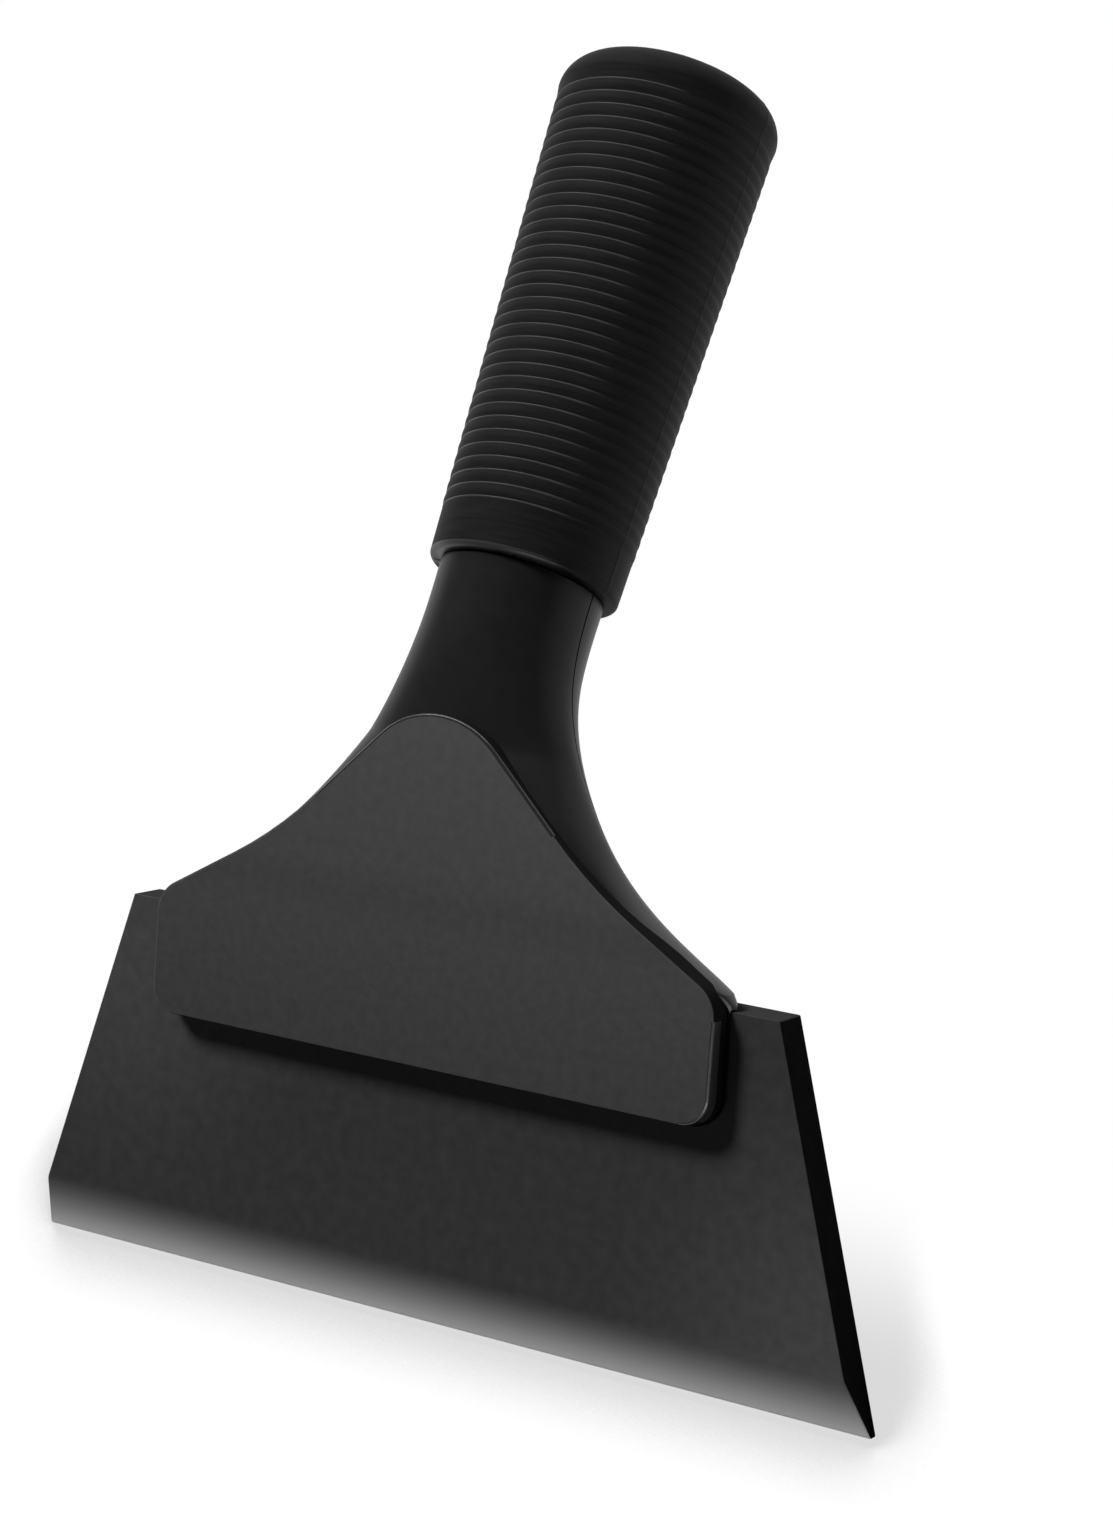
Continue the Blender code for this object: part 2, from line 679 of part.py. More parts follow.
def sleeve_profile():
    """The sleeve's profile from its closed top down the ribs, round the foot and up the bore."""
    top = SLEEVE_LENGTH
    taper = (SLEEVE_TOP_RADIUS - SLEEVE_LOW_RADIUS) / SLEEVE_LENGTH
    pitch = (SLEEVE_LENGTH - TOP_BAND - COLLAR_BAND) / (GROOVE_COUNT - 1)
    bore = SPIGOT_RADIUS + SEAT_GAP
    rounding = SLEEVE_TOP_ROUNDING
    centre = (SLEEVE_TOP_RADIUS - rounding, top - SLEEVE_CROWN - rounding)
    profile = [(0, top), *arc(centre, rounding, math.pi / 2, 0, SLEEVE_END_STEPS)]
    for i in range(GROOVE_COUNT):
        height = top - TOP_BAND - pitch * i
        radius = SLEEVE_LOW_RADIUS + taper * height
        profile.append((radius, height + GROOVE_WIDTH / 2))
        profile.append((radius - GROOVE_DEPTH, height))
        profile.append((radius, height - GROOVE_WIDTH / 2))
    rounding = SLEEVE_LOW_ROUNDING
    centre = (SLEEVE_LOW_RADIUS - rounding, rounding)
    profile += arc(centre, rounding, 0, -math.pi / 2, SMALL_ARC_STEPS)
    profile += [(bore, 0), (bore, top - SLEEVE_END_WALL), (0, top - SLEEVE_END_WALL)]
    return profile


def make_sleeve():
    place = Matrix.Translation(BEND_POINT + ALONG * SLEEVE_START)
    place = place @ Matrix.Rotation(-GRIP_LEAN, 4, "X")
    turned("grip_sleeve", sleeve_profile(), SLEEVE_STEPS, sleeve_rubber(), place)


def add_cross(screw):
    """Cuts a cross recess into a screw whose head's face is at its own origin."""
    long_half = CROSS_SPAN / 2
    thin_half = CROSS_SLOT / 2
    for name, x, y in (("slot_a", long_half, thin_half), ("slot_b", thin_half, long_half)):
        low = Vector((-x, -y, -CROSS_DEPTH))
        high = Vector((x, y, OVERRUN))
        mesh = boxes(f"{screw.name}_{name}", [(low, high, Matrix())])
        boolean(screw, "DIFFERENCE", add_cutter(mesh.name, mesh, screw.matrix_world.copy()))


def countersunk_profile():
    length = CLAMP_SCREW_LENGTH
    return [
        (0, 0),
        (COUNTERSUNK_RADIUS, 0),
        (COUNTERSUNK_RADIUS, -COUNTERSUNK_RIM),
        (SCREW_RADIUS, -COUNTERSUNK_RIM - COUNTERSUNK_HEIGHT),
        (SCREW_RADIUS, -length + SCREW_POINT),
        (SCREW_RADIUS - SCREW_POINT, -length),
        (0, -length),
    ]


def pan_profile():
    """A pan head above its seat, a shank and a point. The head's face is at height zero."""
    rounding = PAN_HEAD_ROUNDING
    length = PAN_HEAD_HEIGHT + HANDLE_SCREW_LENGTH
    return [
        (0, 0),
        *arc((PAN_HEAD_RADIUS - rounding, -rounding), rounding, math.pi / 2, 0, SMALL_ARC_STEPS),
        (PAN_HEAD_RADIUS, -PAN_HEAD_HEIGHT),
        (SCREW_RADIUS, -PAN_HEAD_HEIGHT),
        (SCREW_RADIUS, -length + 2 * SCREW_RADIUS),
        (0, -length),
    ]


def make_screws_and_nuts():
    steel = screw_steel()
    brass = nut_brass()
    face = BLADE_THICKNESS + LAND_RISE - HEAD_RECESS
    for name, frame in clamp_frames().items():
        place = frame @ Matrix.Translation((0, 0, face))
        screw = turned(f"clamp_screw_{name}", countersunk_profile(), SCREW_STEPS, steel, place)
        add_cross(screw)
        low = frame @ Matrix.Translation((0, 0, -NUT_FAR_FACE))
        nut = rods(f"clamp_nut_{name}", NUT_RADIUS, NUT_THICKNESS, [low], sides=6)
        nut = add_piece(f"clamp_nut_{name}", nut, brass)
        start = low @ Matrix.Translation((0, 0, -OVERRUN))
        hole = rods(f"nut_hole_{name}", SCREW_RADIUS + SEAT_GAP, 2 * OVERRUN, [start])
        boolean(nut, "DIFFERENCE", add_cutter(f"nut_hole_{name}", hole))
    for name, frame in handle_frames().items():
        place = frame @ Matrix.Translation((0, 0, HANDLE_SCREW_SEAT + PAN_HEAD_HEIGHT))
        add_cross(turned(f"{name}_screw", pan_profile(), SCREW_STEPS, steel, place))


clear_scene()
pieces = new_collection("window_tint_squeegee")
cutters = new_collection("cutters")
tool = bpy.data.objects.new("working_edge_at_origin", None)
pieces.objects.link(tool)

make_blade()
pocket_cores = core_cutter()
make_front_shell(pocket_cores)
make_back_shell(pocket_cores)
make_sleeve()
make_screws_and_nuts()

lay_on_table()
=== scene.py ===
"""Looks of the window tint squeegee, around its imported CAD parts.

The blade, the two shells and the grip sleeve are built again here as fine meshes. They follow
the solids that they stand for, with rims, ribs and flanks brought closer to the photograph.
Screws and nuts keep their CAD meshes. Shapes are made in the blade's own frame, in metres: X
along the working edge, Y from the blade's front face to its back, Z up from the working edge.
One matrix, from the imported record, then lays them down.
"""

import json
import math

import bmesh
import bpy
from mathutils import Matrix, Vector


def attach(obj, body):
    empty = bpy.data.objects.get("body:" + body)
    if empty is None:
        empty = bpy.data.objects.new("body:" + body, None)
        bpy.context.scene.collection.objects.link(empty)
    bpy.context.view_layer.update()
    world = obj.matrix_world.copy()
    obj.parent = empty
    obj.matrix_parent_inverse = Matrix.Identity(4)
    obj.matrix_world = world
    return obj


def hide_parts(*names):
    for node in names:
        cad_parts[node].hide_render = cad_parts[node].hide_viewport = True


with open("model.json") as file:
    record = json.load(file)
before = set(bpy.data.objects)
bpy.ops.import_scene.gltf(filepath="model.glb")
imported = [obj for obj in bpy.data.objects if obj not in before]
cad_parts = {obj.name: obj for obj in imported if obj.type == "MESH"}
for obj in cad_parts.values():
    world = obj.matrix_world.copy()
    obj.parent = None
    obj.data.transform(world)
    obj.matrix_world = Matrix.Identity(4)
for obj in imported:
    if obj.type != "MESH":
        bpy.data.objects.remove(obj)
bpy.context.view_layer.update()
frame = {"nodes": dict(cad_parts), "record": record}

# Blade.
BLADE_EDGE_WIDTH = 0.150
BLADE_TOP_WIDTH = 0.1153
BLADE_HEIGHT = 0.058
BLADE_THICKNESS = 0.00635
BEVEL_HEIGHT = 0.0091
TIP_THICKNESS = 0.0016
BEND_ROUNDING = 0.0022
BLADE_EDGE_ROUNDING = 0.00028
CUT_NORMAL = 0.9

# Clearances, the one overrun that every cutter has, and a depth too small to count.
SEAT_GAP = 0.0003
OVERRUN = 0.010
NO_DEPTH = 0.000001

# Head and its raised lands.
HEAD_WIDTH = 0.1006
CLAMP_HEIGHT = 0.0166
SHOULDER_RISE = 0.0018
SHOULDER_RADIUS = 0.0020
LAND_RISE = 0.0044
LAND_INSET = 0.0007
LAND_RIM = 0.00045
LAND_DRAFT = 0.00035
FLANGE_HEIGHT = 0.0009
LAND_LOW_CORNER = 0.0044
LAND_SHOULDER_CORNER = 0.0056
LAND_SHOULDER_RISE = 0.0023
LAND_APEX_RISE = 0.0160
LAND_TIP_RADIUS = 0.0145
WAIST_TANGENT_SHARE = 0.365
WAIST_WIDTH_SHARE = 0.56
WAIST_RISE_SHARE = 0.32
BACK_LAND_DROP = 0.0070

# Wings and neck. The two fills round out the flank at the shoulder and where the neck begins.
WING_RIDGE_DEPTH = 0.0005
WING_BACK_DEPTH = 0.0087
WING_DROP = 0.0020
CLAMP_DROP = 0.0016
WING_ROUNDING = 0.0015
ROUNDING_AT_BEND = 0.0090
ROUNDING_POWER = 3.5
LAND_COVER = 0.00015
FLANK_POWER = 2.80
SHOULDER_FILL = 0.00080
SHOULDER_FILL_REACH = 0.003
NECK_FILL = 0.0006
NECK_FILL_PLACE = 0.027
NECK_FILL_REACH = 0.010
BEND_HEIGHT = 0.084
BEND_TANGENT = 0.019
GRIP_LEAN = math.radians(24.7)
NECK_LENGTH = 0.0311
NECK_HALF_WIDTH = 0.0126
NECK_HALF_DEPTH = 0.0132
NECK_WAIST_DEPTH = 0.0110
NECK_TAKEOFF = 0.010
NECK_FORMED = 0.028
FRONT_BLEND = 0.0030
PARTING_START = 0.076
PARTING_END = 0.026
PARTING_PULL = 0.011

# Spigot and sleeve. Each rib is a low crown that ends below in a fine raised edge.
SPIGOT_RADIUS = 0.011
SPIGOT_CHAMFER = 0.0012
SLEEVE_LENGTH = 0.0833
SLEEVE_LOW_RADIUS = 0.01472
SLEEVE_TOP_RADIUS = 0.0176
SLEEVE_END_WALL = 0.003
SLEEVE_TOP_ROUNDING = 0.0048
SLEEVE_CROWN = 0.0004
SLEEVE_LOW_ROUNDING = 0.0009
TOP_BAND = 0.0075
COLLAR_BAND = 0.0078
RIB_COUNT = 33
RIB_EDGE_RADIUS = 0.0002
RIB_EDGE_HEIGHT = 0.00005
RIB_CROWN = 0.00013
# How far round the front the ribs' edges and the collar's foot carry a painted highlight.
HIGHLIGHT_SIDE = 0.3
SEAM_WIDTH = 0.0005
SEAM_RISE = 0.00007

# Screws and nuts.
CLAMP_SCREW_INSET = 0.0163
SCREW_RADIUS = 0.0015
COUNTERSUNK_RADIUS = 0.00275
COUNTERSUNK_HEIGHT = 0.0016
COUNTERSUNK_RIM = 0.0002
HEAD_RECESS = 0.0002
NUT_RADIUS = 0.00318
NUT_SIDES = 6
NUT_THICKNESS = 0.0024
NUT_SINK = 0.0003
HANDLE_SCREW_LENGTH = 0.014
HANDLE_SCREW_SEAT = 0.0065
PAN_HEAD_RADIUS = 0.0028
NECK_SCREW_BELOW_COLLAR = 0.0085
SPIGOT_SCREW_BELOW_END = 0.0090

# Core pockets.
CORE_WALL = 0.0022
CORE_RIB = 0.0020
CORE_BAYS = 4
CORE_WIDTH = 0.0125
CORE_DEPTH = 0.0140
SCREW_POST_RADIUS = 0.0045
WING_CORE_SPANS_SHARES = ((0.10, 0.36), (0.41, 0.54))
WING_CORE_TOP_STEP = 0.0001

# How fine the meshes are.
SECTION_POINTS = 120
NECK_STATIONS = 84
STATION_POWER = 1.5
PARTING_STEPS = 40
ARC_STEP = math.radians(3)
RIM_STEPS = 6
SLEEVE_STEPS = 180
SLEEVE_END_STEPS = 16
SMALL_ARC_STEPS = 4
RIB_STEPS = 6
HOLE_STEPS = 48
SHARP_ANGLE = math.radians(32)

# Places of the finishes in each piece's list of materials, after the plain one. Some carry
# painted light and shade: the land's rim and walls, the blade's cut faces and the grip's edges.
TEXTURED, SHADED_WALL, RIM_HIGHLIGHT = 1, 2, 3
CUT = 1
RIB_HIGHLIGHT = 1

# A land's rim carries a painted highlight near its tip and on its right side below the
# shoulder, where it doesn't look down. Elsewhere the face's texture covers a share of it.
DOWNWARDS = 0.75
RIM_HIGHLIGHT_TIP = 0.014
TEXTURED_RIM_SHARE = 0.35

# Sizes and places worked out from those above.
HEAD_LOW = BLADE_HEIGHT - CLAMP_HEIGHT
BLADE_MIDDLE = BLADE_THICKNESS / 2
SHOULDER_HEIGHT = BLADE_HEIGHT + SHOULDER_RISE
FLANGE_TOP = BLADE_HEIGHT + LAND_SHOULDER_RISE
CLAMP_SCREW_HEIGHT = BLADE_HEIGHT - CLAMP_HEIGHT / 2
CLAMP_SCREW_PITCH = HEAD_WIDTH / 2 - CLAMP_SCREW_INSET
NUT_FAR_FACE = SEAT_GAP + NUT_SINK + NUT_THICKNESS
BEND_RADIUS = BEND_TANGENT / math.tan(GRIP_LEAN / 2)
BEND_PATH = BEND_HEIGHT - SHOULDER_HEIGHT
RISE_TO_BEND = BEND_PATH - BEND_TANGENT
BEND_LENGTH = BEND_RADIUS * GRIP_LEAN
NECK_PATH = RISE_TO_BEND + BEND_LENGTH + NECK_LENGTH - BEND_TANGENT
SLEEVE_START = NECK_LENGTH + SEAT_GAP
RIB_EDGE_TURN = math.acos(1 - RIB_EDGE_HEIGHT / RIB_EDGE_RADIUS)
RIB_EDGE_HALF = RIB_EDGE_RADIUS * math.sin(RIB_EDGE_TURN)
SPIGOT_END = SLEEVE_START + SLEEVE_LENGTH - SLEEVE_END_WALL - SEAT_GAP
NECK_SCREW_PLACE = SLEEVE_START - NECK_SCREW_BELOW_COLLAR
SPIGOT_SCREW_PLACE = SPIGOT_END - SPIGOT_SCREW_BELOW_END

ALONG = Vector((0, math.sin(GRIP_LEAN), math.cos(GRIP_LEAN)))
BEND_POINT = Vector((0, BLADE_MIDDLE, BEND_HEIGHT))

# Camera, fitted to the photograph. The sensor's long side is the frame's height.
CAMERA_PLACE = Vector((0.2748, 0.01839, 0.45597))
CAMERA_FORWARD = Vector((-0.5153, 0.1276, -0.8475))
CAMERA_UP = Vector((-0.1368, 0.9639, 0.2283))
CAMERA_LENS = 80.82
SENSOR_LONG_SIDE = 36.0


def laid_down():
    """The matrix from the blade's frame to the table, from the record's working edge."""
    edge = next(mount for mount in frame["record"]["mounts"] if mount["name"] == "working_edge")
    down = Vector(edge["axis"])
    turn = math.atan2(-down.z, -down.y) - math.pi / 2
    return Matrix.Rotation(turn, 4, "X") @ Matrix.Translation((0, -BLADE_THICKNESS, 0))


# Meshes.


def mesh_from(name, build):
    """Runs build on an empty bmesh and stores what it makes, with its faces pointing out."""
    shape = bmesh.new()
    build(shape)
    bmesh.ops.recalc_face_normals(shape, faces=shape.faces)
    mesh = bpy.data.meshes.new(name)
    shape.to_mesh(mesh)
    shape.free()
    return mesh


def loft(name, rings):
    """A closed skin through rings that have the same number of points."""

    def build(shape):
        rows = [[shape.verts.new(point) for point in ring] for ring in rings]
        count = len(rows[0])
        for low, high in zip(rows, rows[1:]):
            for i in range(count):
                j = (i + 1) % count
                shape.faces.new((low[i], low[j], high[j], high[i]))
        shape.faces.new(rows[0])
        shape.faces.new(rows[-1])

    return mesh_from(name, build)


def side_prism(name, outline):
    """A prism across the whole tool over an outline of (y, z) points."""
    reach = BLADE_EDGE_WIDTH / 2 + OVERRUN
    return loft(name, [[(x, y, z) for y, z in outline] for x in (-reach, reach)])


def boxes(name, spans):
    """One mesh of separate boxes, each given as its low corner, high corner and frame."""

    def build(shape):
        for low, high, place in spans:
            size = Matrix.Diagonal((*(high - low), 1))
            here = place @ Matrix.Translation((low + high) / 2) @ size
            bmesh.ops.create_cube(shape, size=1, matrix=here)

    return mesh_from(name, build)


def rods(name, radius, length, frames, sides=HOLE_STEPS):
    """One mesh of separate rods, each starting at its frame and running up its Z."""

    def build(shape):
        for place in frames:
            bmesh.ops.create_cone(
                shape, cap_ends=True, segments=sides, radius1=radius, radius2=radius,
                depth=length, matrix=place @ Matrix.Translation((0, 0, length / 2)),
            )

    return mesh_from(name, build)


def turned(name, profile, angles, place=Matrix.Identity(4), swell=None):
    """A closed turned skin whose profile starts and ends on the axis.

    swell(angle, radius) gives what is added to a point's radius."""

    def build(shape):
        first = shape.verts.new(place @ Vector((0, 0, profile[0][1])))
        last = shape.verts.new(place @ Vector((0, 0, profile[-1][1])))
        rows = []
        for radius, height in profile[1:-1]:
            row = []
            for angle in angles:
                wide = radius + (swell(angle, radius) if swell else 0)
                point = Vector((wide * math.cos(angle), wide * math.sin(angle), height))
                row.append(shape.verts.new(place @ point))
            rows.append(row)
        count = len(angles)
        for i in range(count):
            j = (i + 1) % count
            shape.faces.new((first, rows[0][i], rows[0][j]))
            shape.faces.new((last, rows[-1][j], rows[-1][i]))
            for low, high in zip(rows, rows[1:]):
                shape.faces.new((low[i], high[i], high[j], low[j]))

    return mesh_from(name, build)


def round_angles(steps):
    """Even angles round a full turn."""
    return [2 * math.pi * i / steps for i in range(steps)]


def arc(centre, radius, start, end, steps):
    """Points on an arc, each as (across, up), angles in radians from the first axis."""
    turn = (end - start) / steps
    angles = [start + turn * i for i in range(steps + 1)]
    return [(centre[0] + radius * math.cos(a), centre[1] + radius * math.sin(a)) for a in angles]


def rounded_outline(corners):
    """A closed outline whose corners, given as (across, up, radius), are rounded by arcs."""
    outline = []
    for i, (across, up, radius) in enumerate(corners):
        here = Vector((across, up))
        if not radius:
            outline.append(here)
            continue
        before = Vector(corners[i - 1][:2]) - here
        after = Vector(corners[(i + 1) % len(corners)][:2]) - here
        half = before.angle(after) / 2
        inwards = (before.normalized() + after.normalized()).normalized()
        middle = here + inwards * (radius / math.sin(half))
        foot = here + before.normalized() * (radius / math.tan(half)) - middle
        turn = math.pi - 2 * half
        if before.x * after.y - before.y * after.x > 0:
            turn = -turn
        steps = max(2, math.ceil(abs(turn) / ARC_STEP))
        for k in range(steps + 1):
            outline.append(middle + Matrix.Rotation(turn * k / steps, 2) @ foot)
    return outline


def offset_outline(outline, distance):
    """The outline moved outwards by distance(point). Its points run anticlockwise."""
    moved = []
    for i, point in enumerate(outline):
        run = (outline[(i + 1) % len(outline)] - outline[i - 1]).normalized()
        moved.append(point + Vector((run.y, -run.x)) * distance(point))
    return moved


# Pieces.


def add_piece(name, mesh, node, surfaces):
    """A piece that stands for a CAD node and moves with the tool, in the blade's frame."""
    made = bpy.data.objects.new(name, mesh)
    bpy.context.scene.collection.objects.link(made)
    for surface in surfaces:
        mesh.materials.append(surface)
    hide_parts(node)
    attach(made, "root")
    return made


def settle(piece):
    """Turns a piece's modifiers into mesh."""
    bpy.context.view_layer.update()
    graph = bpy.context.evaluated_depsgraph_get()
    piece.data = bpy.data.meshes.new_from_object(piece.evaluated_get(graph))
    piece.modifiers.clear()


def carve(piece, operation, mesh):
    """Joins a shape to a piece, cuts it out or keeps what lies inside it."""
    tool = bpy.data.objects.new(mesh.name, mesh)
    bpy.context.scene.collection.objects.link(tool)
    step = piece.modifiers.new(operation.lower(), "BOOLEAN")
    step.operation = operation
    step.object = tool
    step.solver = "EXACT"
    settle(piece)
    bpy.data.objects.remove(tool)


def finish_piece(piece):
    """Lays a piece down where its CAD node is and smooths it, with creases kept sharp."""
    piece.data.transform(LAID_DOWN)
    piece.data.shade_smooth()
    piece.data.set_sharp_from_angle(angle=SHARP_ANGLE)
    even = piece.modifiers.new("flat_faces_lead", "WEIGHTED_NORMAL")
    even.keep_sharp = True


# Blade.


def blade_half_width(height):
    """Half the blade's width at a height above its working edge."""
    taper = (BLADE_EDGE_WIDTH - BLADE_TOP_WIDTH) / 2 / BLADE_HEIGHT
    return BLADE_EDGE_WIDTH / 2 - taper * height


def blade_section():
    """The blade's (y, z) section, whose bend from bevel to face is a soft ground corner."""
    back = BLADE_THICKNESS
    corners = (
        (0, BLADE_HEIGHT, 0),
        (0, BEVEL_HEIGHT, BEND_ROUNDING),
        (back - TIP_THICKNESS, 0, 0),
        (back, 0, 0),
        (back, BLADE_HEIGHT, 0),
    )
    return rounded_outline(corners)


def face_cuts(blade):
    """Gives the blade's knife-cut ends and top their own finish, with painted shade and light."""
    for polygon in blade.data.polygons:
        if max(abs(polygon.normal.x), polygon.normal.z) > CUT_NORMAL:
            polygon.material_index = CUT


def make_blade(surfaces):
    """The blade, with its bevel, its clamp holes and softly rounded edges."""
    section = blade_section()
    rings = []
    for side in (-1, 1):
        rings.append([(side * blade_half_width(point.y), point.x, point.y) for point in section])
    mesh = loft("rubber_blade", rings)
    blade = add_piece("rubber_blade", mesh, "blade", surfaces)
    frames = [place @ Matrix.Translation((0, 0, -OVERRUN)) for place in clamp_frames().values()]
    length = BLADE_THICKNESS + 2 * OVERRUN
    carve(blade, "DIFFERENCE", rods("blade_holes", SCREW_RADIUS + SEAT_GAP, length, frames))
    face_cuts(blade)
    edge = blade.modifiers.new("soft_edges", "BEVEL")
    edge.width = BLADE_EDGE_ROUNDING
    edge.segments = SMALL_ARC_STEPS
    edge.limit_method = "ANGLE"
    edge.angle_limit = SHARP_ANGLE
    finish_piece(blade)


# Shells.


def land_corners():
    """The (x, z) of the land's right corners at its face: low, shoulder, waist and apex."""
    half = HEAD_WIDTH / 2 - LAND_INSET
    apex = BEND_HEIGHT + LAND_APEX_RISE
    waist = (half * WAIST_WIDTH_SHARE, FLANGE_TOP + (apex - FLANGE_TOP) * WAIST_RISE_SHARE)
    return (half, HEAD_LOW), (half, FLANGE_TOP), waist, (0, apex)


def land_outline(drop):
    """The land's outline at its face, the part above the clamp lowered by drop."""
    low, shoulder, waist, apex = (Vector(corner) for corner in land_corners())
    fall, climb = shoulder - waist, apex - waist
    waist_radius = WAIST_TANGENT_SHARE * fall.length * math.tan(fall.angle(climb) / 2)
    right = [
        (*low, LAND_LOW_CORNER),
        (shoulder[0], shoulder[1] - drop, LAND_SHOULDER_CORNER),
        (waist[0], waist[1] - drop, waist_radius),
    ]
    left = [(-x, z, radius) for x, z, radius in reversed(right)]
    return rounded_outline([*right, (0, apex[1] - drop, LAND_TIP_RADIUS), *left])


def land_rings(face, inward, drop):
    """Rings down the land: its rounded rim, its drafted wall and a flange, each as (x, y, z).

    Above the shoulders the flange and the draft run out."""
    outline = land_outline(drop)
    foot = LAND_RISE - FLANGE_HEIGHT
    top = FLANGE_TOP - drop
    steps = [
        *arc((LAND_RIM, -LAND_RIM), LAND_RIM, math.pi, math.pi / 2, RIM_STEPS),
        (foot / 2, LAND_DRAFT),
        (foot, LAND_DRAFT),
        (foot, LAND_INSET),
        (LAND_RISE + SEAT_GAP, LAND_INSET),
    ]
    rings = []
    for depth, spread in steps:

        def distance(point):
            above = ease(point.y, top - LAND_SHOULDER_CORNER, top)
            return spread + (min(spread, 0) - spread) * above

        moved = offset_outline(outline, distance)
        rings.append([(point.x, face + inward * depth, point.y) for point in moved])
    return rings


def land_mesh(name, face, inward, drop):
    """The land as a drafted plateau with its finishes: a textured face, a painted highlight on
    the rim's right side and tip, and painted shade on the walls except high on the right.

    inward is +1 from the front face and -1 from the back."""
    mesh = loft(name, land_rings(face, inward, drop))
    foot = LAND_RISE - FLANGE_HEIGHT
    corner = FLANGE_TOP - drop - LAND_SHOULDER_CORNER
    tip_start = max(point.y for point in land_outline(drop)) - RIM_HIGHLIGHT_TIP
    for polygon in mesh.polygons:
        depth = (polygon.center.y - face) * inward
        right_side = polygon.center.z < corner and polygon.normal.x > 0
        right_side = right_side and polygon.normal.z > -DOWNWARDS
        tip = polygon.center.z > tip_start
        if depth < NO_DEPTH:
            polygon.material_index = TEXTURED
        # Painted highlight on the rim's right side below the shoulder, and near its tip.
        elif depth < LAND_RIM and (right_side or tip):
            polygon.material_index = RIM_HIGHLIGHT
        elif depth < LAND_RIM * TEXTURED_RIM_SHARE:
            polygon.material_index = TEXTURED
        # Painted shade on the rest of the rim and on the walls, all but the upper half of the
        # right wall.
        elif depth > foot / 2 or not right_side:
            polygon.material_index = SHADED_WALL
    return mesh


def ease(value, start, end):
    """Runs smoothly from 0 at start to 1 at end."""
    share = min(max((value - start) / (end - start), 0), 1)
    return share * share * (3 - 2 * share)


def soft_least(first, second, blend):
    """The smaller of two lengths, passing smoothly from one to the other."""
    share = min(max(0.5 + (second - first) / (2 * blend), 0), 1)
    return second + (first - second) * share - blend * share * (1 - share)


def centre_line(path):
    """The form's centre and lean at a distance up from the shoulders."""
    towards_ridge = (BLADE_MIDDLE - WING_RIDGE_DEPTH) * (1 - ease(path, 0, BEND_PATH))
    if path <= RISE_TO_BEND:
        return Vector((0, BLADE_MIDDLE - towards_ridge, SHOULDER_HEIGHT + path)), 0.0
    if path <= RISE_TO_BEND + BEND_LENGTH:
        lean = (path - RISE_TO_BEND) / BEND_RADIUS
        y = BLADE_MIDDLE - towards_ridge + BEND_RADIUS * (1 - math.cos(lean))
        z = SHOULDER_HEIGHT + RISE_TO_BEND + BEND_RADIUS * math.sin(lean)
        return Vector((0, y, z)), lean
    along = path - RISE_TO_BEND - BEND_LENGTH + BEND_TANGENT
    return BEND_POINT + ALONG * along, GRIP_LEAN


def flank_half_width(path):
    """Half the form's width: straight sides, a round full shoulder, then a concave flank."""
    wide = HEAD_WIDTH / 2
    slope = FLANK_POWER * (wide - NECK_HALF_WIDTH) / NECK_PATH
    turn = math.atan(slope)
    tangent = SHOULDER_RADIUS * math.tan(turn / 2)
    if path <= -tangent:
        return wide
    near = max(path, 0) / SHOULDER_FILL_REACH
    fill = SHOULDER_FILL * near * math.exp(1 - near)
    fill += NECK_FILL * math.exp(-(((path - NECK_FILL_PLACE) / NECK_FILL_REACH) ** 2))
    if path < tangent * math.cos(turn):
        round_part = math.sqrt(SHOULDER_RADIUS**2 - (path + tangent) ** 2)
        return wide - SHOULDER_RADIUS + round_part + fill
    share = min(path / NECK_PATH, 1.0)
    return NECK_HALF_WIDTH + (wide - NECK_HALF_WIDTH) * (1 - share) ** FLANK_POWER + fill


def ring(path, half_width, front, back, rounding):
    """A ring of points square to the centre line: an elliptic back, and a front that is flat
    between ends rounded over the given length."""
    centre, lean = centre_line(path)
    backwards = Vector((0, math.cos(lean), -math.sin(lean)))
    points = []
    for i in range(SECTION_POINTS):
        angle = 2 * math.pi * i / SECTION_POINTS
        across = half_width * math.cos(angle)
        depth = back * math.sin(angle)
        if math.sin(angle) < 0:
            flat = half_width - rounding
            across = math.copysign(flat, math.cos(angle)) + rounding * math.cos(angle)
            depth = front * math.sin(angle)
        points.append(centre + Vector((across, 0, 0)) + backwards * depth)
    return points


def form_ring(path):
    """The outer form's ring at a distance up from the shoulders."""
    half_width = flank_half_width(path)
    centre, lean = centre_line(path)
    formed = ease(path, NECK_TAKEOFF, NECK_FORMED)
    bend_share = max(path, 0) / BEND_PATH
    neck_share = (path - NECK_FORMED) / (NECK_PATH - NECK_FORMED)
    neck_depth = NECK_WAIST_DEPTH + (NECK_HALF_DEPTH - NECK_WAIST_DEPTH) * neck_share
    drop = WING_DROP * (1 - formed) + CLAMP_DROP * ease(-path, -SHOULDER_RADIUS, SHOULDER_RADIUS)
    behind_land = centre.y + LAND_RISE - LAND_COVER - drop
    front = soft_least(behind_land / math.cos(lean), neck_depth, FRONT_BLEND)
    back = WING_BACK_DEPTH + (neck_depth - WING_BACK_DEPTH) * formed
    rounding = WING_ROUNDING + ROUNDING_AT_BEND * bend_share**ROUNDING_POWER
    return ring(path, half_width, front, back, min(half_width, rounding))


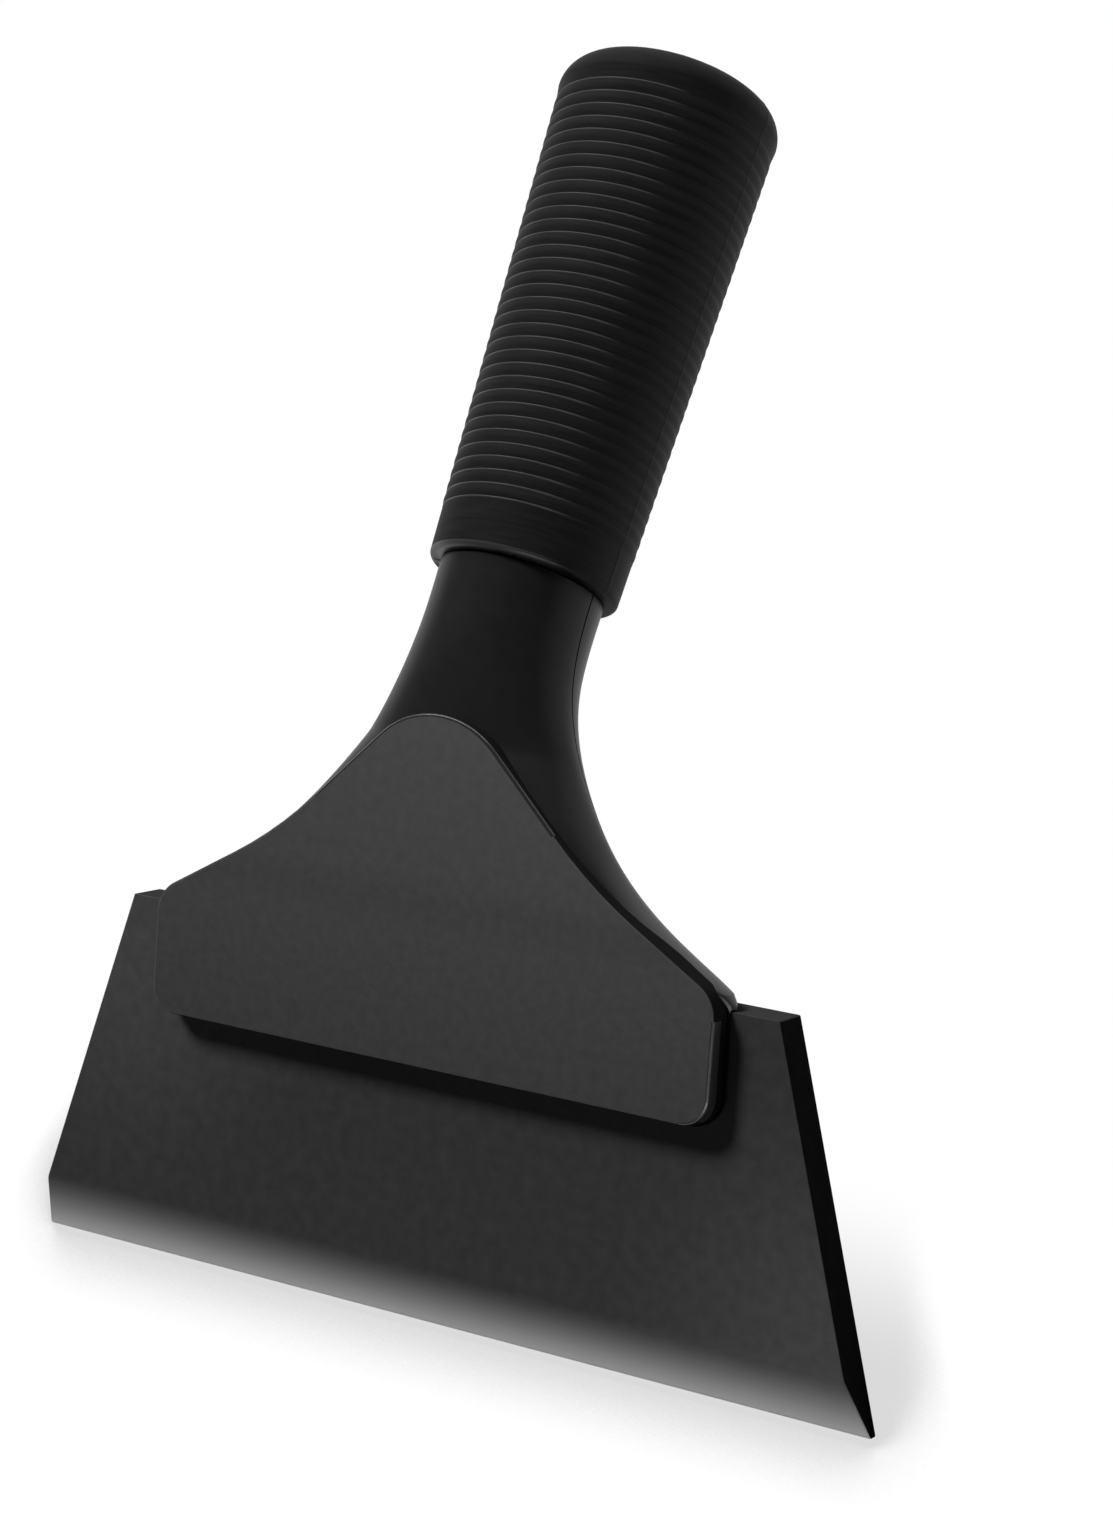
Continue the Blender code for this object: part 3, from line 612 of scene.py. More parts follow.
def body_form(name):
    """Wings, neck and spigot as one loft, from inside the clamp to the spigot's end."""
    start = CLAMP_SCREW_HEIGHT - SHOULDER_HEIGHT
    around_shoulder = [SHOULDER_RADIUS * i / SMALL_ARC_STEPS for i in range(-SMALL_ARC_STEPS, 2)]
    stations = range(2, NECK_STATIONS + 1)
    rises = [NECK_PATH * (i / NECK_STATIONS) ** STATION_POWER for i in stations]
    paths = [start, *around_shoulder, *[rise for rise in rises if rise > around_shoulder[-1]]]
    rings = [form_ring(path) for path in paths]
    tip = NECK_PATH + SPIGOT_END - NECK_LENGTH
    turned_rings = (
        (NECK_PATH, SPIGOT_RADIUS),
        (tip - SPIGOT_CHAMFER, SPIGOT_RADIUS),
        (tip, SPIGOT_RADIUS - SPIGOT_CHAMFER),
    )
    for path, radius in turned_rings:
        rings.append(ring(path, radius, radius, radius, radius))
    return loft(name, rings)


def parting_line():
    """The (y, z) line where the shells meet, from behind the blade up to the spigot's end."""
    low = Vector((BLADE_THICKNESS + SEAT_GAP / 2, PARTING_START))
    high_point = BEND_POINT + ALONG * PARTING_END
    high = Vector((high_point.y, high_point.z))
    lean = Vector((ALONG.y, ALONG.z))
    pull_low = low + Vector((0, PARTING_PULL))
    pull_high = high - lean * PARTING_PULL
    line = [(low, 0.0)]
    for i in range(1, PARTING_STEPS + 1):
        t = i / PARTING_STEPS
        a, b, c, d = (1 - t) ** 3, 3 * t * (1 - t) ** 2, 3 * t * t * (1 - t), t**3
        point = a * low + b * pull_low + c * pull_high + d * high
        line.append((point, GRIP_LEAN * t))
    end = BEND_POINT + ALONG * (SPIGOT_END + OVERRUN)
    line.append((Vector((end.y, end.z)), GRIP_LEAN))
    return line


def shell_side(side):
    """The region that holds one shell. side is -1 for the front shell and +1 for the back."""
    line = []
    for point, lean in parting_line():
        line.append(point + Vector((math.cos(lean), -math.sin(lean))) * (side * SEAT_GAP / 2))
    low = HEAD_LOW - OVERRUN
    far = side * (NECK_HALF_DEPTH + BLADE_HEIGHT)
    if side < 0:
        clear = BLADE_HEIGHT + SEAT_GAP
        foot = [(-SEAT_GAP, low), (-SEAT_GAP, clear), (line[0].x, clear)]
    else:
        foot = [(line[0].x, low)]
    top = line[-1]
    outline = [*foot, *[(p.x, p.y) for p in line], (top.x + far, top.y), (far, low)]
    return side_prism("front_side" if side < 0 else "back_side", outline)


def facing_back(point, lean):
    """A frame at a point whose Z axis points out of the tool's back."""
    return Matrix.Translation(point) @ Matrix.Rotation(-math.pi / 2 - lean, 4, "X")


def clamp_frames():
    """Frames on the blade's front face at the clamp screws, Z out of the back."""
    places = [(-CLAMP_SCREW_PITCH, "left"), (0, "middle"), (CLAMP_SCREW_PITCH, "right")]
    return {name: facing_back(Vector((x, 0, CLAMP_SCREW_HEIGHT)), 0) for x, name in places}


def handle_frames():
    """Frames on the grip's axis at the handle screws, Z out of the back."""
    places = (("neck", NECK_SCREW_PLACE), ("spigot", SPIGOT_SCREW_PLACE))
    return {name: facing_back(BEND_POINT + ALONG * place, GRIP_LEAN) for name, place in places}


def core_bays():
    """The (start, end) of each core pocket along the grip's axis, clear of the screw posts."""
    start = NECK_SCREW_PLACE + SCREW_POST_RADIUS
    end = SPIGOT_SCREW_PLACE - SCREW_POST_RADIUS
    pitch = (end - start + CORE_RIB) / CORE_BAYS
    bays = [(start + pitch * i, start + pitch * (i + 1) - CORE_RIB) for i in range(CORE_BAYS)]
    return [(0, NECK_SCREW_PLACE - SCREW_POST_RADIUS), *bays]


def land_edge_height(x):
    """The height of the land's sloping edge, corner to corner, at a distance off centre."""
    low, *corners = land_corners()
    for (wide, bottom), (narrow, top) in zip(corners, corners[1:]):
        if x >= narrow:
            return bottom + (top - bottom) * (wide - x) / (wide - narrow)
    return corners[-1][1]


def covered_half_width(path):
    """Half the width that the back shell covers, at a distance up from the shoulders."""
    centre, _ = centre_line(path)
    depth = BLADE_THICKNESS + SEAT_GAP - centre.y
    return flank_half_width(path) * math.sqrt(1 - (depth / WING_BACK_DEPTH) ** 2)


def wing_core_top(x):
    """The height that keeps a pocket's top corner a wall inside the land and the back shell."""
    edge = x + CORE_WALL
    top = land_edge_height(edge) - CORE_WALL
    while covered_half_width(top - SHOULDER_HEIGHT) < edge:
        top -= WING_CORE_TOP_STEP
    return top


def core_mesh():
    """Core pockets in the front shell's wings and through both halves of neck and spigot."""
    spans = []
    half = Vector((CORE_WIDTH / 2, CORE_DEPTH / 2, 0))
    grip = Matrix.Translation(BEND_POINT) @ Matrix.Rotation(-GRIP_LEAN, 4, "X")
    for start, end in core_bays():
        spans.append((Vector((-half.x, -half.y, start)), Vector((half.x, half.y, end)), grip))
    front = -LAND_RISE + CORE_WALL
    back = BLADE_THICKNESS + SEAT_GAP / 2
    low = BLADE_HEIGHT + SEAT_GAP + CORE_WALL
    wide = HEAD_WIDTH / 2
    for inner, outer in WING_CORE_SPANS_SHARES:
        high = wing_core_top(wide * outer)
        for sign in (-1, 1):
            xs = sorted((sign * wide * inner, sign * wide * outer))
            spans.append((Vector((xs[0], front, low)), Vector((xs[1], back, high)), Matrix()))
    return boxes("cores", spans)


def countersink_profile():
    """The hole of a clamp screw in the back shell, from above its head down."""
    wide = COUNTERSUNK_RADIUS + SEAT_GAP
    hole = SCREW_RADIUS + SEAT_GAP
    rim = -HEAD_RECESS - COUNTERSUNK_RIM
    return [
        (0, OVERRUN),
        (wide, OVERRUN),
        (wide, rim),
        (hole, rim - COUNTERSUNK_HEIGHT),
        (hole, -LAND_RISE - OVERRUN),
        (0, -LAND_RISE - OVERRUN),
    ]


def counterbore_profile():
    """The hole of a handle screw in the back shell, about the grip's axis."""
    wide = PAN_HEAD_RADIUS + SEAT_GAP
    hole = SCREW_RADIUS + SEAT_GAP
    seat = HANDLE_SCREW_SEAT - SEAT_GAP
    return [
        (0, NECK_HALF_DEPTH + OVERRUN),
        (wide, NECK_HALF_DEPTH + OVERRUN),
        (wide, seat),
        (hole, seat),
        (hole, -SEAT_GAP),
        (0, -SEAT_GAP),
    ]


def make_front_shell(surfaces):
    """Front land, wings, front half of neck and spigot, with nut pockets and pilot holes."""
    mesh = body_form("front_moulding")
    shell = add_piece("front_moulding", mesh, "front_shell", surfaces)
    carve(shell, "UNION", land_mesh("front_land", -LAND_RISE, 1, 0))
    carve(shell, "INTERSECT", shell_side(-1))
    carve(shell, "DIFFERENCE", core_mesh())
    sink = NUT_FAR_FACE + SEAT_GAP
    frames = [place @ Matrix.Translation((0, 0, -sink)) for place in clamp_frames().values()]
    pockets = rods("nut_pockets", NUT_RADIUS + SEAT_GAP, sink + OVERRUN, frames, NUT_SIDES)
    carve(shell, "DIFFERENCE", pockets)
    reach = HANDLE_SCREW_LENGTH - HANDLE_SCREW_SEAT + 2 * SEAT_GAP
    frames = [place @ Matrix.Translation((0, 0, -reach)) for place in handle_frames().values()]
    pilots = rods("pilot_holes", SCREW_RADIUS + SEAT_GAP, reach + SPIGOT_RADIUS, frames)
    carve(shell, "DIFFERENCE", pilots)
    finish_piece(shell)


def make_back_shell(surfaces):
    """Back land, back half of neck and spigot, with countersinks and counterbores."""
    face = BLADE_THICKNESS + LAND_RISE
    mesh = body_form("back_moulding")
    shell = add_piece("back_moulding", mesh, "back_shell", surfaces)
    carve(shell, "UNION", land_mesh("back_land", face, -1, BACK_LAND_DROP))
    carve(shell, "INTERSECT", shell_side(1))
    carve(shell, "DIFFERENCE", core_mesh())
    around = round_angles(HOLE_STEPS)
    for name, place in clamp_frames().items():
        top = place @ Matrix.Translation((0, 0, face))
        carve(shell, "DIFFERENCE", turned(f"sink_{name}", countersink_profile(), around, top))
    for name, place in handle_frames().items():
        carve(shell, "DIFFERENCE", turned(f"bore_{name}", counterbore_profile(), around, place))
    finish_piece(shell)


# Sleeve.


def rib_edge_heights():
    """The height of each rib's raised edge on the sleeve, from the top down."""
    pitch = (SLEEVE_LENGTH - TOP_BAND - COLLAR_BAND) / (RIB_COUNT - 1)
    return [SLEEVE_LENGTH - TOP_BAND - pitch * i for i in range(RIB_COUNT)]


def ribs():
    """The ribs' (radius, height) points from the top down: raised edges with crowns between."""
    taper = (SLEEVE_TOP_RADIUS - SLEEVE_LOW_RADIUS) / SLEEVE_LENGTH
    profile = []
    for height in rib_edge_heights():
        if profile:
            high = profile[-1][1]
            for i in range(1, RIB_STEPS):
                share = i / RIB_STEPS
                here = high + (height + RIB_EDGE_HALF - high) * share
                crown = RIB_CROWN * math.sin(math.pi * share) - RIB_EDGE_HEIGHT
                profile.append((SLEEVE_LOW_RADIUS + taper * here + crown, here))
        centre = (SLEEVE_LOW_RADIUS + taper * height - RIB_EDGE_RADIUS, height)
        profile += arc(centre, RIB_EDGE_RADIUS, RIB_EDGE_TURN, -RIB_EDGE_TURN, RIB_STEPS)
    return profile


def sleeve_profile():
    """The sleeve's profile from its closed top down the ribs, round the foot and up the bore."""
    top = SLEEVE_LENGTH
    bore = SPIGOT_RADIUS + SEAT_GAP
    rounding = SLEEVE_TOP_ROUNDING
    centre = (SLEEVE_TOP_RADIUS - rounding, top - SLEEVE_CROWN - rounding)
    profile = [(0, top)]
    for i in range(1, SMALL_ARC_STEPS):
        share = i / SMALL_ARC_STEPS
        profile.append((centre[0] * share, top - SLEEVE_CROWN * share * share))
    profile += arc(centre, rounding, math.pi / 2, 0, SLEEVE_END_STEPS)
    profile += ribs()
    rounding = SLEEVE_LOW_ROUNDING
    centre = (SLEEVE_LOW_RADIUS - rounding, rounding)
    profile += arc(centre, rounding, 0, -math.pi / 2, 2 * SMALL_ARC_STEPS)
    profile += [(bore, 0), (bore, top - SLEEVE_END_WALL), (0, top - SLEEVE_END_WALL)]
    return profile


def seam_swell(angle, radius):
    """The faint line that the two mould halves leave down both sides of the sleeve."""
    off = abs(math.sin(angle)) * radius / SEAM_WIDTH
    outside = radius > SPIGOT_RADIUS + 2 * SEAT_GAP
    return SEAM_RISE * (1 - off) if off < 1 and outside else 0


def sleeve_angles():
    """Even steps round the sleeve, with closer ones at the seams."""
    close = SEAM_WIDTH / 2 / SLEEVE_LOW_RADIUS
    near = [side + close * k for side in (0, math.pi) for k in (-2, -1, 1, 2)]
    return sorted(angle % (2 * math.pi) for angle in [*round_angles(SLEEVE_STEPS), *near])


def paint_rib_highlights(mesh, place):
    """Gives the ribs' raised edges and the collar's foot a painted highlight on the front."""
    edges = [(high - RIB_EDGE_HALF, high + RIB_EDGE_HALF) for high in rib_edge_heights()]
    edges.append((0, SLEEVE_LOW_ROUNDING))
    back = place.inverted()
    for polygon in mesh.polygons:
        across, deep, height = back @ polygon.center
        if deep > -HIGHLIGHT_SIDE * math.hypot(across, deep):
            continue
        if any(low < height < high for low, high in edges):
            polygon.material_index = RIB_HIGHLIGHT


def make_sleeve(surfaces):
    """The sleeve, turned round the grip's axis."""
    place = Matrix.Translation(BEND_POINT + ALONG * SLEEVE_START)
    place = place @ Matrix.Rotation(-GRIP_LEAN, 4, "X")
    mesh = turned("ribbed_sleeve", sleeve_profile(), sleeve_angles(), place, seam_swell)
    paint_rib_highlights(mesh, place)
    sleeve = add_piece("ribbed_sleeve", mesh, "grip_sleeve", surfaces)
    finish_piece(sleeve)


# Materials. Sizes of their patterns. Real grain is finer and is drawn coarser here to show.

NYLON_CLOUD = 0.016
SATIN_PATCH = 0.003
SATIN_GRAIN = 0.0004
SPARK_PATCH = 0.0015
SPARK_GRAIN = 0.00032
RUBBER_MOTTLE = 0.0022
RUBBER_GRAIN = 0.00045
STREAK_WIDTH = 0.0005
STREAK_LENGTH = 0.008
STEEL_WEAR = 0.0012
GRAIN_HEIGHT = 0.00005
PATCH_DETAIL = 3.0
GRAIN_DETAIL = 2.0

# How much they bend light. A metal keeps the shader's own value.
NYLON_IOR = 1.53
BLADE_RUBBER_IOR = 1.52
GRIP_RUBBER_IOR = 1.5
METAL_IOR = 1.5

# Where the finishes and the painted light change along a piece, and from what to what.
SHINE_START = 0.078
SHINE_END = 0.062
NECK_SHINE = 0.12
WING_SHINE = 0.5
DARK_BAND_HEIGHT = 0.066
DARK_BAND_HALF = 0.005
DARK_BAND_TONE = 0.9
LIGHT_POOL_LEFT = (-0.060, 0.0, 0.052)
LIGHT_POOL_RIGHT = (0.074, 0.0, 0.010)
LIGHT_POOL_REACH = 0.045
GRIND_AND_REFLECTION_POWER = 1.8
# Where the grip's painted highlight fades in across the front, and its sheen.
HIGHLIGHT_FADE_START = 0.0120
HIGHLIGHT_FADE_END = 0.0080
GRIP_SHINE = 0.08
HIGHLIGHT_SHINE = 0.4
GRIP_CLOUD_SHARE = 0.35

# Sockets of a Mix node that takes two colours and gives one.
FIRST, SECOND, MIXED = 6, 7, 2


def colour(code):
    """The linear colour of an sRGB hex value."""
    shares = [int(code[i : i + 2], 16) / 255 for i in (1, 3, 5)]
    linear = [s / 12.92 if s <= 0.04045 else ((s + 0.055) / 1.055) ** 2.4 for s in shares]
    return (*linear, 1.0)


def add_node(tree, kind, inputs=None, **settings):
    """Adds a node. inputs gives a socket, by name or number, a value or another's output."""
    made = tree.nodes.new(kind)
    for name, value in settings.items():
        setattr(made, name, value)
    for socket, value in (inputs or {}).items():
        if isinstance(value, bpy.types.NodeSocket):
            tree.links.new(value, made.inputs[socket])
        else:
            made.inputs[socket].default_value = value
    return made


def new_material(name, roughness, ior, specular=0.5, metallic=0.0):
    """A material with its node tree, its shader and coordinates in the blade's frame."""
    made = bpy.data.materials.new(name)
    made.use_nodes = True
    tree = made.node_tree
    shader = tree.nodes["Principled BSDF"]
    shader.inputs["Roughness"].default_value = roughness
    shader.inputs["IOR"].default_value = ior
    shader.inputs["Specular IOR Level"].default_value = specular
    shader.inputs["Metallic"].default_value = metallic
    lying = add_node(tree, "ShaderNodeTexCoord").outputs["Object"]
    upright = LAID_DOWN.inverted()
    turn = {"Vector": lying, "Rotation": upright.to_euler(), "Location": upright.translation}
    place = add_node(tree, "ShaderNodeMapping", turn).outputs["Vector"]
    return made, tree, shader, place


def add_tones(tree, place, size, dark, light):
    """Two tones of a colour in soft patches of a size."""
    patches = {"Vector": place, "Scale": 1 / size, "Detail": PATCH_DETAIL}
    patches = add_node(tree, "ShaderNodeTexNoise", patches).outputs["Fac"]
    both = {"Factor": patches, FIRST: dark, SECOND: light}
    return add_node(tree, "ShaderNodeMix", both, data_type="RGBA").outputs[MIXED]


def dress(tree, shader, place, tone, size, strength):
    """Gives a material's shader its tone, and a fine grain of a size as bump."""
    tree.links.new(tone, shader.inputs["Base Color"])
    grain = {"Vector": place, "Scale": 1 / size, "Detail": GRAIN_DETAIL}
    grain = add_node(tree, "ShaderNodeTexNoise", grain).outputs["Fac"]
    bump = {"Strength": strength, "Distance": GRAIN_HEIGHT, "Height": grain}
    bump = add_node(tree, "ShaderNodeBump", bump).outputs["Normal"]
    tree.links.new(bump, shader.inputs["Normal"])


def satin_nylon():
    """Black nylon moulded in a finely ground tool: dark and even, with a low broad sheen that
    is stronger on the wings than on the neck."""
    made, tree, shader, place = new_material(
        "satin_black_nylon", roughness=0.4, ior=NYLON_IOR, specular=NECK_SHINE
    )
    dark = add_tones(tree, place, SATIN_PATCH, colour("#141414"), colour("#1c1c1c"))
    light = add_tones(tree, place, SATIN_PATCH, colour("#1b1b1b"), colour("#232324"))
    tone = add_tones(tree, place, NYLON_CLOUD, dark, light)
    height = add_node(tree, "ShaderNodeSeparateXYZ", {"Vector": place}).outputs["Z"]
    shine = {"Value": height, "From Min": SHINE_START, "From Max": SHINE_END}
    shine.update({"To Min": NECK_SHINE, "To Max": WING_SHINE})
    shine = add_node(tree, "ShaderNodeMapRange", shine, interpolation_type="SMOOTHSTEP")
    tree.links.new(shine.outputs["Result"], shader.inputs["Specular IOR Level"])
    dress(tree, shader, place, tone, SATIN_GRAIN, strength=0.12)
    return made


def rim_highlight_nylon():
    """Black nylon, glossy and a touch paler: a painted highlight along the land's rim."""
    made, tree, shader, place = new_material(
        "black_nylon_painted_rim_highlight", roughness=0.26, ior=NYLON_IOR, specular=0.6
    )
    tone = add_tones(tree, place, NYLON_CLOUD, colour("#232324"), colour("#2a2a2b"))
    dress(tree, shader, place, tone, SATIN_GRAIN, strength=0.12)
    return made


def textured_nylon():
    """Black nylon moulded against a spark-eroded tool face: a fine grain that reads as grey,
    with painted light making it paler towards the land's tip, and a faint darker band across it."""
    made, tree, shader, place = new_material(
        "spark_textured_black_nylon", roughness=0.62, ior=NYLON_IOR, specular=0.3
    )
    height = add_node(tree, "ShaderNodeSeparateXYZ", {"Vector": place}).outputs["Z"]
    # Painted light: the face grows paler with height, towards the land's tip.
    rise = {"Value": height, "From Min": HEAD_LOW, "From Max": BEND_HEIGHT + LAND_APEX_RISE}
    rise = add_node(tree, "ShaderNodeMapRange", rise).outputs["Result"]
    low = add_tones(tree, place, SPARK_PATCH, colour("#2b2b2c"), colour("#39393a"))
    high = add_tones(tree, place, SPARK_PATCH, colour("#3e3e3f"), colour("#4e4e4f"))
    tone = {"Factor": rise, FIRST: low, SECOND: high}
    tone = add_node(tree, "ShaderNodeMix", tone, data_type="RGBA").outputs[MIXED]
    # A faint darker band across the land at one height.
    off = {0: height, 1: DARK_BAND_HEIGHT}
    off = add_node(tree, "ShaderNodeMath", off, operation="SUBTRACT").outputs[0]
    off = add_node(tree, "ShaderNodeMath", {0: off}, operation="ABSOLUTE").outputs[0]
    clear = {"Value": off, "From Max": DARK_BAND_HALF, "To Min": DARK_BAND_TONE}
    clear = add_node(tree, "ShaderNodeMapRange", clear, interpolation_type="SMOOTHSTEP")
    tone = {"Factor": clear.outputs["Result"], FIRST: colour("#000000"), SECOND: tone}
    tone = add_node(tree, "ShaderNodeMix", tone, data_type="RGBA").outputs[MIXED]
    dress(tree, shader, place, tone, SPARK_GRAIN, strength=0.4)
    return made


def shaded_wall_nylon():
    """Black nylon for the land's walls, dull and the darkest of the moulding: painted shade."""
    made, tree, shader, place = new_material(
        "black_nylon_painted_wall_shade", roughness=0.6, ior=NYLON_IOR, specular=0.0
    )
    tone = add_tones(tree, place, NYLON_CLOUD, colour("#161617"), colour("#1c1c1d"))
    dress(tree, shader, place, tone, SPARK_GRAIN, strength=0.2)
    return made


def cast_blade_rubber():
    """Cast rubber with a ground bevel: satin black, paler towards the edge from its grind and a
    painted reflection, with painted pools of light near the upper left and lower right corner."""
    made, tree, shader, place = new_material(
        "cast_black_blade_rubber", roughness=0.58, ior=BLADE_RUBBER_IOR, specular=0.2
    )
    height = add_node(tree, "ShaderNodeSeparateXYZ", {"Vector": place}).outputs["Z"]
    tone = add_tones(tree, place, RUBBER_MOTTLE, colour("#232323"), colour("#343434"))
    paler = add_tones(tree, place, RUBBER_MOTTLE, colour("#323232"), colour("#454545"))
    # Painted pools of light near the upper left and the lower right corner.
    for spot in (LIGHT_POOL_LEFT, LIGHT_POOL_RIGHT):
        near = {0: place, 1: spot}
        near = add_node(tree, "ShaderNodeVectorMath", near, operation="DISTANCE").outputs["Value"]
        near = {"Value": near, "From Min": LIGHT_POOL_REACH, "From Max": 0.0}
        near = add_node(tree, "ShaderNodeMapRange", near, interpolation_type="SMOOTHSTEP")
        tone = {"Factor": near.outputs["Result"], FIRST: tone, SECOND: paler}
        tone = add_node(tree, "ShaderNodeMix", tone, data_type="RGBA").outputs[MIXED]
    # Towards the edge the tone runs to near white: partly the ground rubber's own paler tone,
    # partly a painted reflection.
    down = {"Value": height, "From Min": BEVEL_HEIGHT + BEND_ROUNDING / 2, "From Max": 0.0}
    down = add_node(tree, "ShaderNodeMapRange", down).outputs["Result"]
    ground = {0: down, 1: GRIND_AND_REFLECTION_POWER}
    ground = add_node(tree, "ShaderNodeMath", ground, operation="POWER").outputs[0]
    tone = {"Factor": ground, FIRST: tone, SECOND: colour("#cecece")}
    tone = add_node(tree, "ShaderNodeMix", tone, data_type="RGBA").outputs[MIXED]
    dress(tree, shader, place, tone, RUBBER_GRAIN, strength=0.4)
    return made


def cut_rubber_lit_top_shaded_ends():
    """Knife-cut rubber: dead matte, with painted shade on the ends and painted light on the top.
    """
    made, tree, shader, place = new_material(
        "knife_cut_rubber_painted_light_and_shade", roughness=0.9, ior=BLADE_RUBBER_IOR, specular=0.0
    )
    height = add_node(tree, "ShaderNodeSeparateXYZ", {"Vector": place}).outputs["Z"]
    # Painted light makes the top grey; painted shade keeps the ends almost black.
    top = {0: height, 1: BLADE_HEIGHT - BLADE_EDGE_ROUNDING / 2}
    top = add_node(tree, "ShaderNodeMath", top, operation="GREATER_THAN").outputs[0]
    ends = add_tones(tree, place, RUBBER_MOTTLE, colour("#101010"), colour("#181818"))
    tone = {"Factor": top, FIRST: ends, SECOND: colour("#303030")}
    tone = add_node(tree, "ShaderNodeMix", tone, data_type="RGBA").outputs[MIXED]
    dress(tree, shader, place, tone, RUBBER_GRAIN, strength=0.3)
    return made


def grip_streaks(tree, place):
    """Fine streaks round the grip, left by the turned mould, over soft cloudy patches."""
    round_grip = {"Vector": place, "Rotation": (-GRIP_LEAN, 0, 0)}
    round_grip["Scale"] = (STREAK_LENGTH, STREAK_LENGTH, STREAK_WIDTH)
    round_grip = add_node(tree, "ShaderNodeMapping", round_grip, vector_type="TEXTURE")
    stretched = round_grip.outputs["Vector"]
    streaks = add_tones(tree, stretched, 1, colour("#030303"), colour("#262627"))
    clouds = add_tones(tree, place, NYLON_CLOUD, colour("#131314"), colour("#18181a"))
    tone = {"Factor": GRIP_CLOUD_SHARE, FIRST: streaks, SECOND: clouds}
    return add_node(tree, "ShaderNodeMix", tone, data_type="RGBA").outputs[MIXED]


def moulded_grip_rubber():
    """Soft thermoplastic rubber moulded over the grip: deep black with a low sheen."""
    made, tree, shader, place = new_material(
        "moulded_grip_rubber", roughness=0.6, ior=GRIP_RUBBER_IOR, specular=GRIP_SHINE
    )
    dress(tree, shader, place, grip_streaks(tree, place), RUBBER_GRAIN, strength=0.2)
    return made


def grip_rubber_painted_highlight():
    """Grip rubber with a painted highlight, grey and shiny, on the ribs' edges and the collar's
    foot.
    """
    made, tree, shader, place = new_material(
        "grip_rubber_painted_highlight", roughness=0.38, ior=GRIP_RUBBER_IOR
    )
    across = add_node(tree, "ShaderNodeSeparateXYZ", {"Vector": place}).outputs["X"]
    across = add_node(tree, "ShaderNodeMath", {0: across}, operation="ABSOLUTE").outputs[0]
    # The painted highlight: pale grey on the front, fading out to the sides.
    highlight_share = {"Value": across, "From Min": HIGHLIGHT_FADE_START, "From Max": HIGHLIGHT_FADE_END}
    highlight_share = add_node(tree, "ShaderNodeMapRange", highlight_share, interpolation_type="SMOOTHSTEP")
    highlight_share = highlight_share.outputs["Result"]
    tone = {"Factor": highlight_share, FIRST: grip_streaks(tree, place), SECOND: colour("#303030")}
    tone = add_node(tree, "ShaderNodeMix", tone, data_type="RGBA").outputs[MIXED]
    shine = {"Value": highlight_share, "To Min": GRIP_SHINE, "To Max": HIGHLIGHT_SHINE}
    shine = add_node(tree, "ShaderNodeMapRange", shine).outputs["Result"]
    tree.links.new(shine, shader.inputs["Specular IOR Level"])
    dress(tree, shader, place, tone, RUBBER_GRAIN, strength=0.1)
    return made


def blackened_steel():
    """Blackened screw steel: near-black oxide, bright where a driver has rubbed it."""
    made, tree, shader, place = new_material(
        "blackened_screw_steel", roughness=0.36, ior=METAL_IOR, metallic=1.0
    )
    tone = add_tones(tree, place, STEEL_WEAR, colour("#2c2c2e"), colour("#58585b"))
    tree.links.new(tone, shader.inputs["Base Color"])
    return made


def turned_brass():
    """Turned brass nuts: warm yellow, dulled unevenly by a thin tarnish."""
    made, tree, shader, place = new_material(
        "turned_nut_brass", roughness=0.34, ior=METAL_IOR, metallic=1.0
    )
    tone = add_tones(tree, place, STEEL_WEAR, colour("#8a6a34"), colour("#cfae67"))
    tree.links.new(tone, shader.inputs["Base Color"])
    return made


def dress_fasteners():
    """Puts steel on the CAD screws and brass on the CAD nuts."""
    steel, brass = blackened_steel(), turned_brass()
    for name, node in frame["nodes"].items():
        if "screw" in name or "nut" in name:
            node.data.materials.clear()
            node.data.materials.append(steel if "screw" in name else brass)


# Studio. The floor glows less near the blade, so that the blade's shade shows on it.

FLOOR_REACH = 30.0
GLOW_BY_BLADE = 0.7
GLOW_BY_GRIP = 1.0
GLOW_RISE_START = 0.008
GLOW_RISE_END = 0.036
CONTACT_REACH = 0.0125
CONTACT_POWER = 34.0
CONTACT_SAMPLES = 8

# The pale wall: where it stands, and how squarely a way has to face it to meet it.
PALE_WALL_WAY = (-0.25, -0.97, 0.0)
WALL_FACING_START = 0.3
WALL_FACING_END = 0.95
CEILING_START = 0.1
CEILING_END = 0.34

# Lamps. Each way points from the tool to the lamp. A softbox has a way, a size and a power.
KEY_WAY = (-0.42, 0.50, 0.76)
KEY_STRENGTH = 4.9
KEY_SPREAD = math.radians(16)
SOFTBOX_DISTANCE = 1.3
SOFTBOXES = {
    "back_rim": ((-0.42, 0.78, 0.46), (0.9, 0.4), 6.0),
    "wing_sheen": ((0.08, 0.96, 0.26), (0.5, 0.5), 2.4),
    "right_rim": ((0.72, -0.60, 0.33), (0.8, 0.2), 5.0),
    "collar_rim": ((0.29, -0.66, 0.69), (1.0, 0.15), 3.5),
}


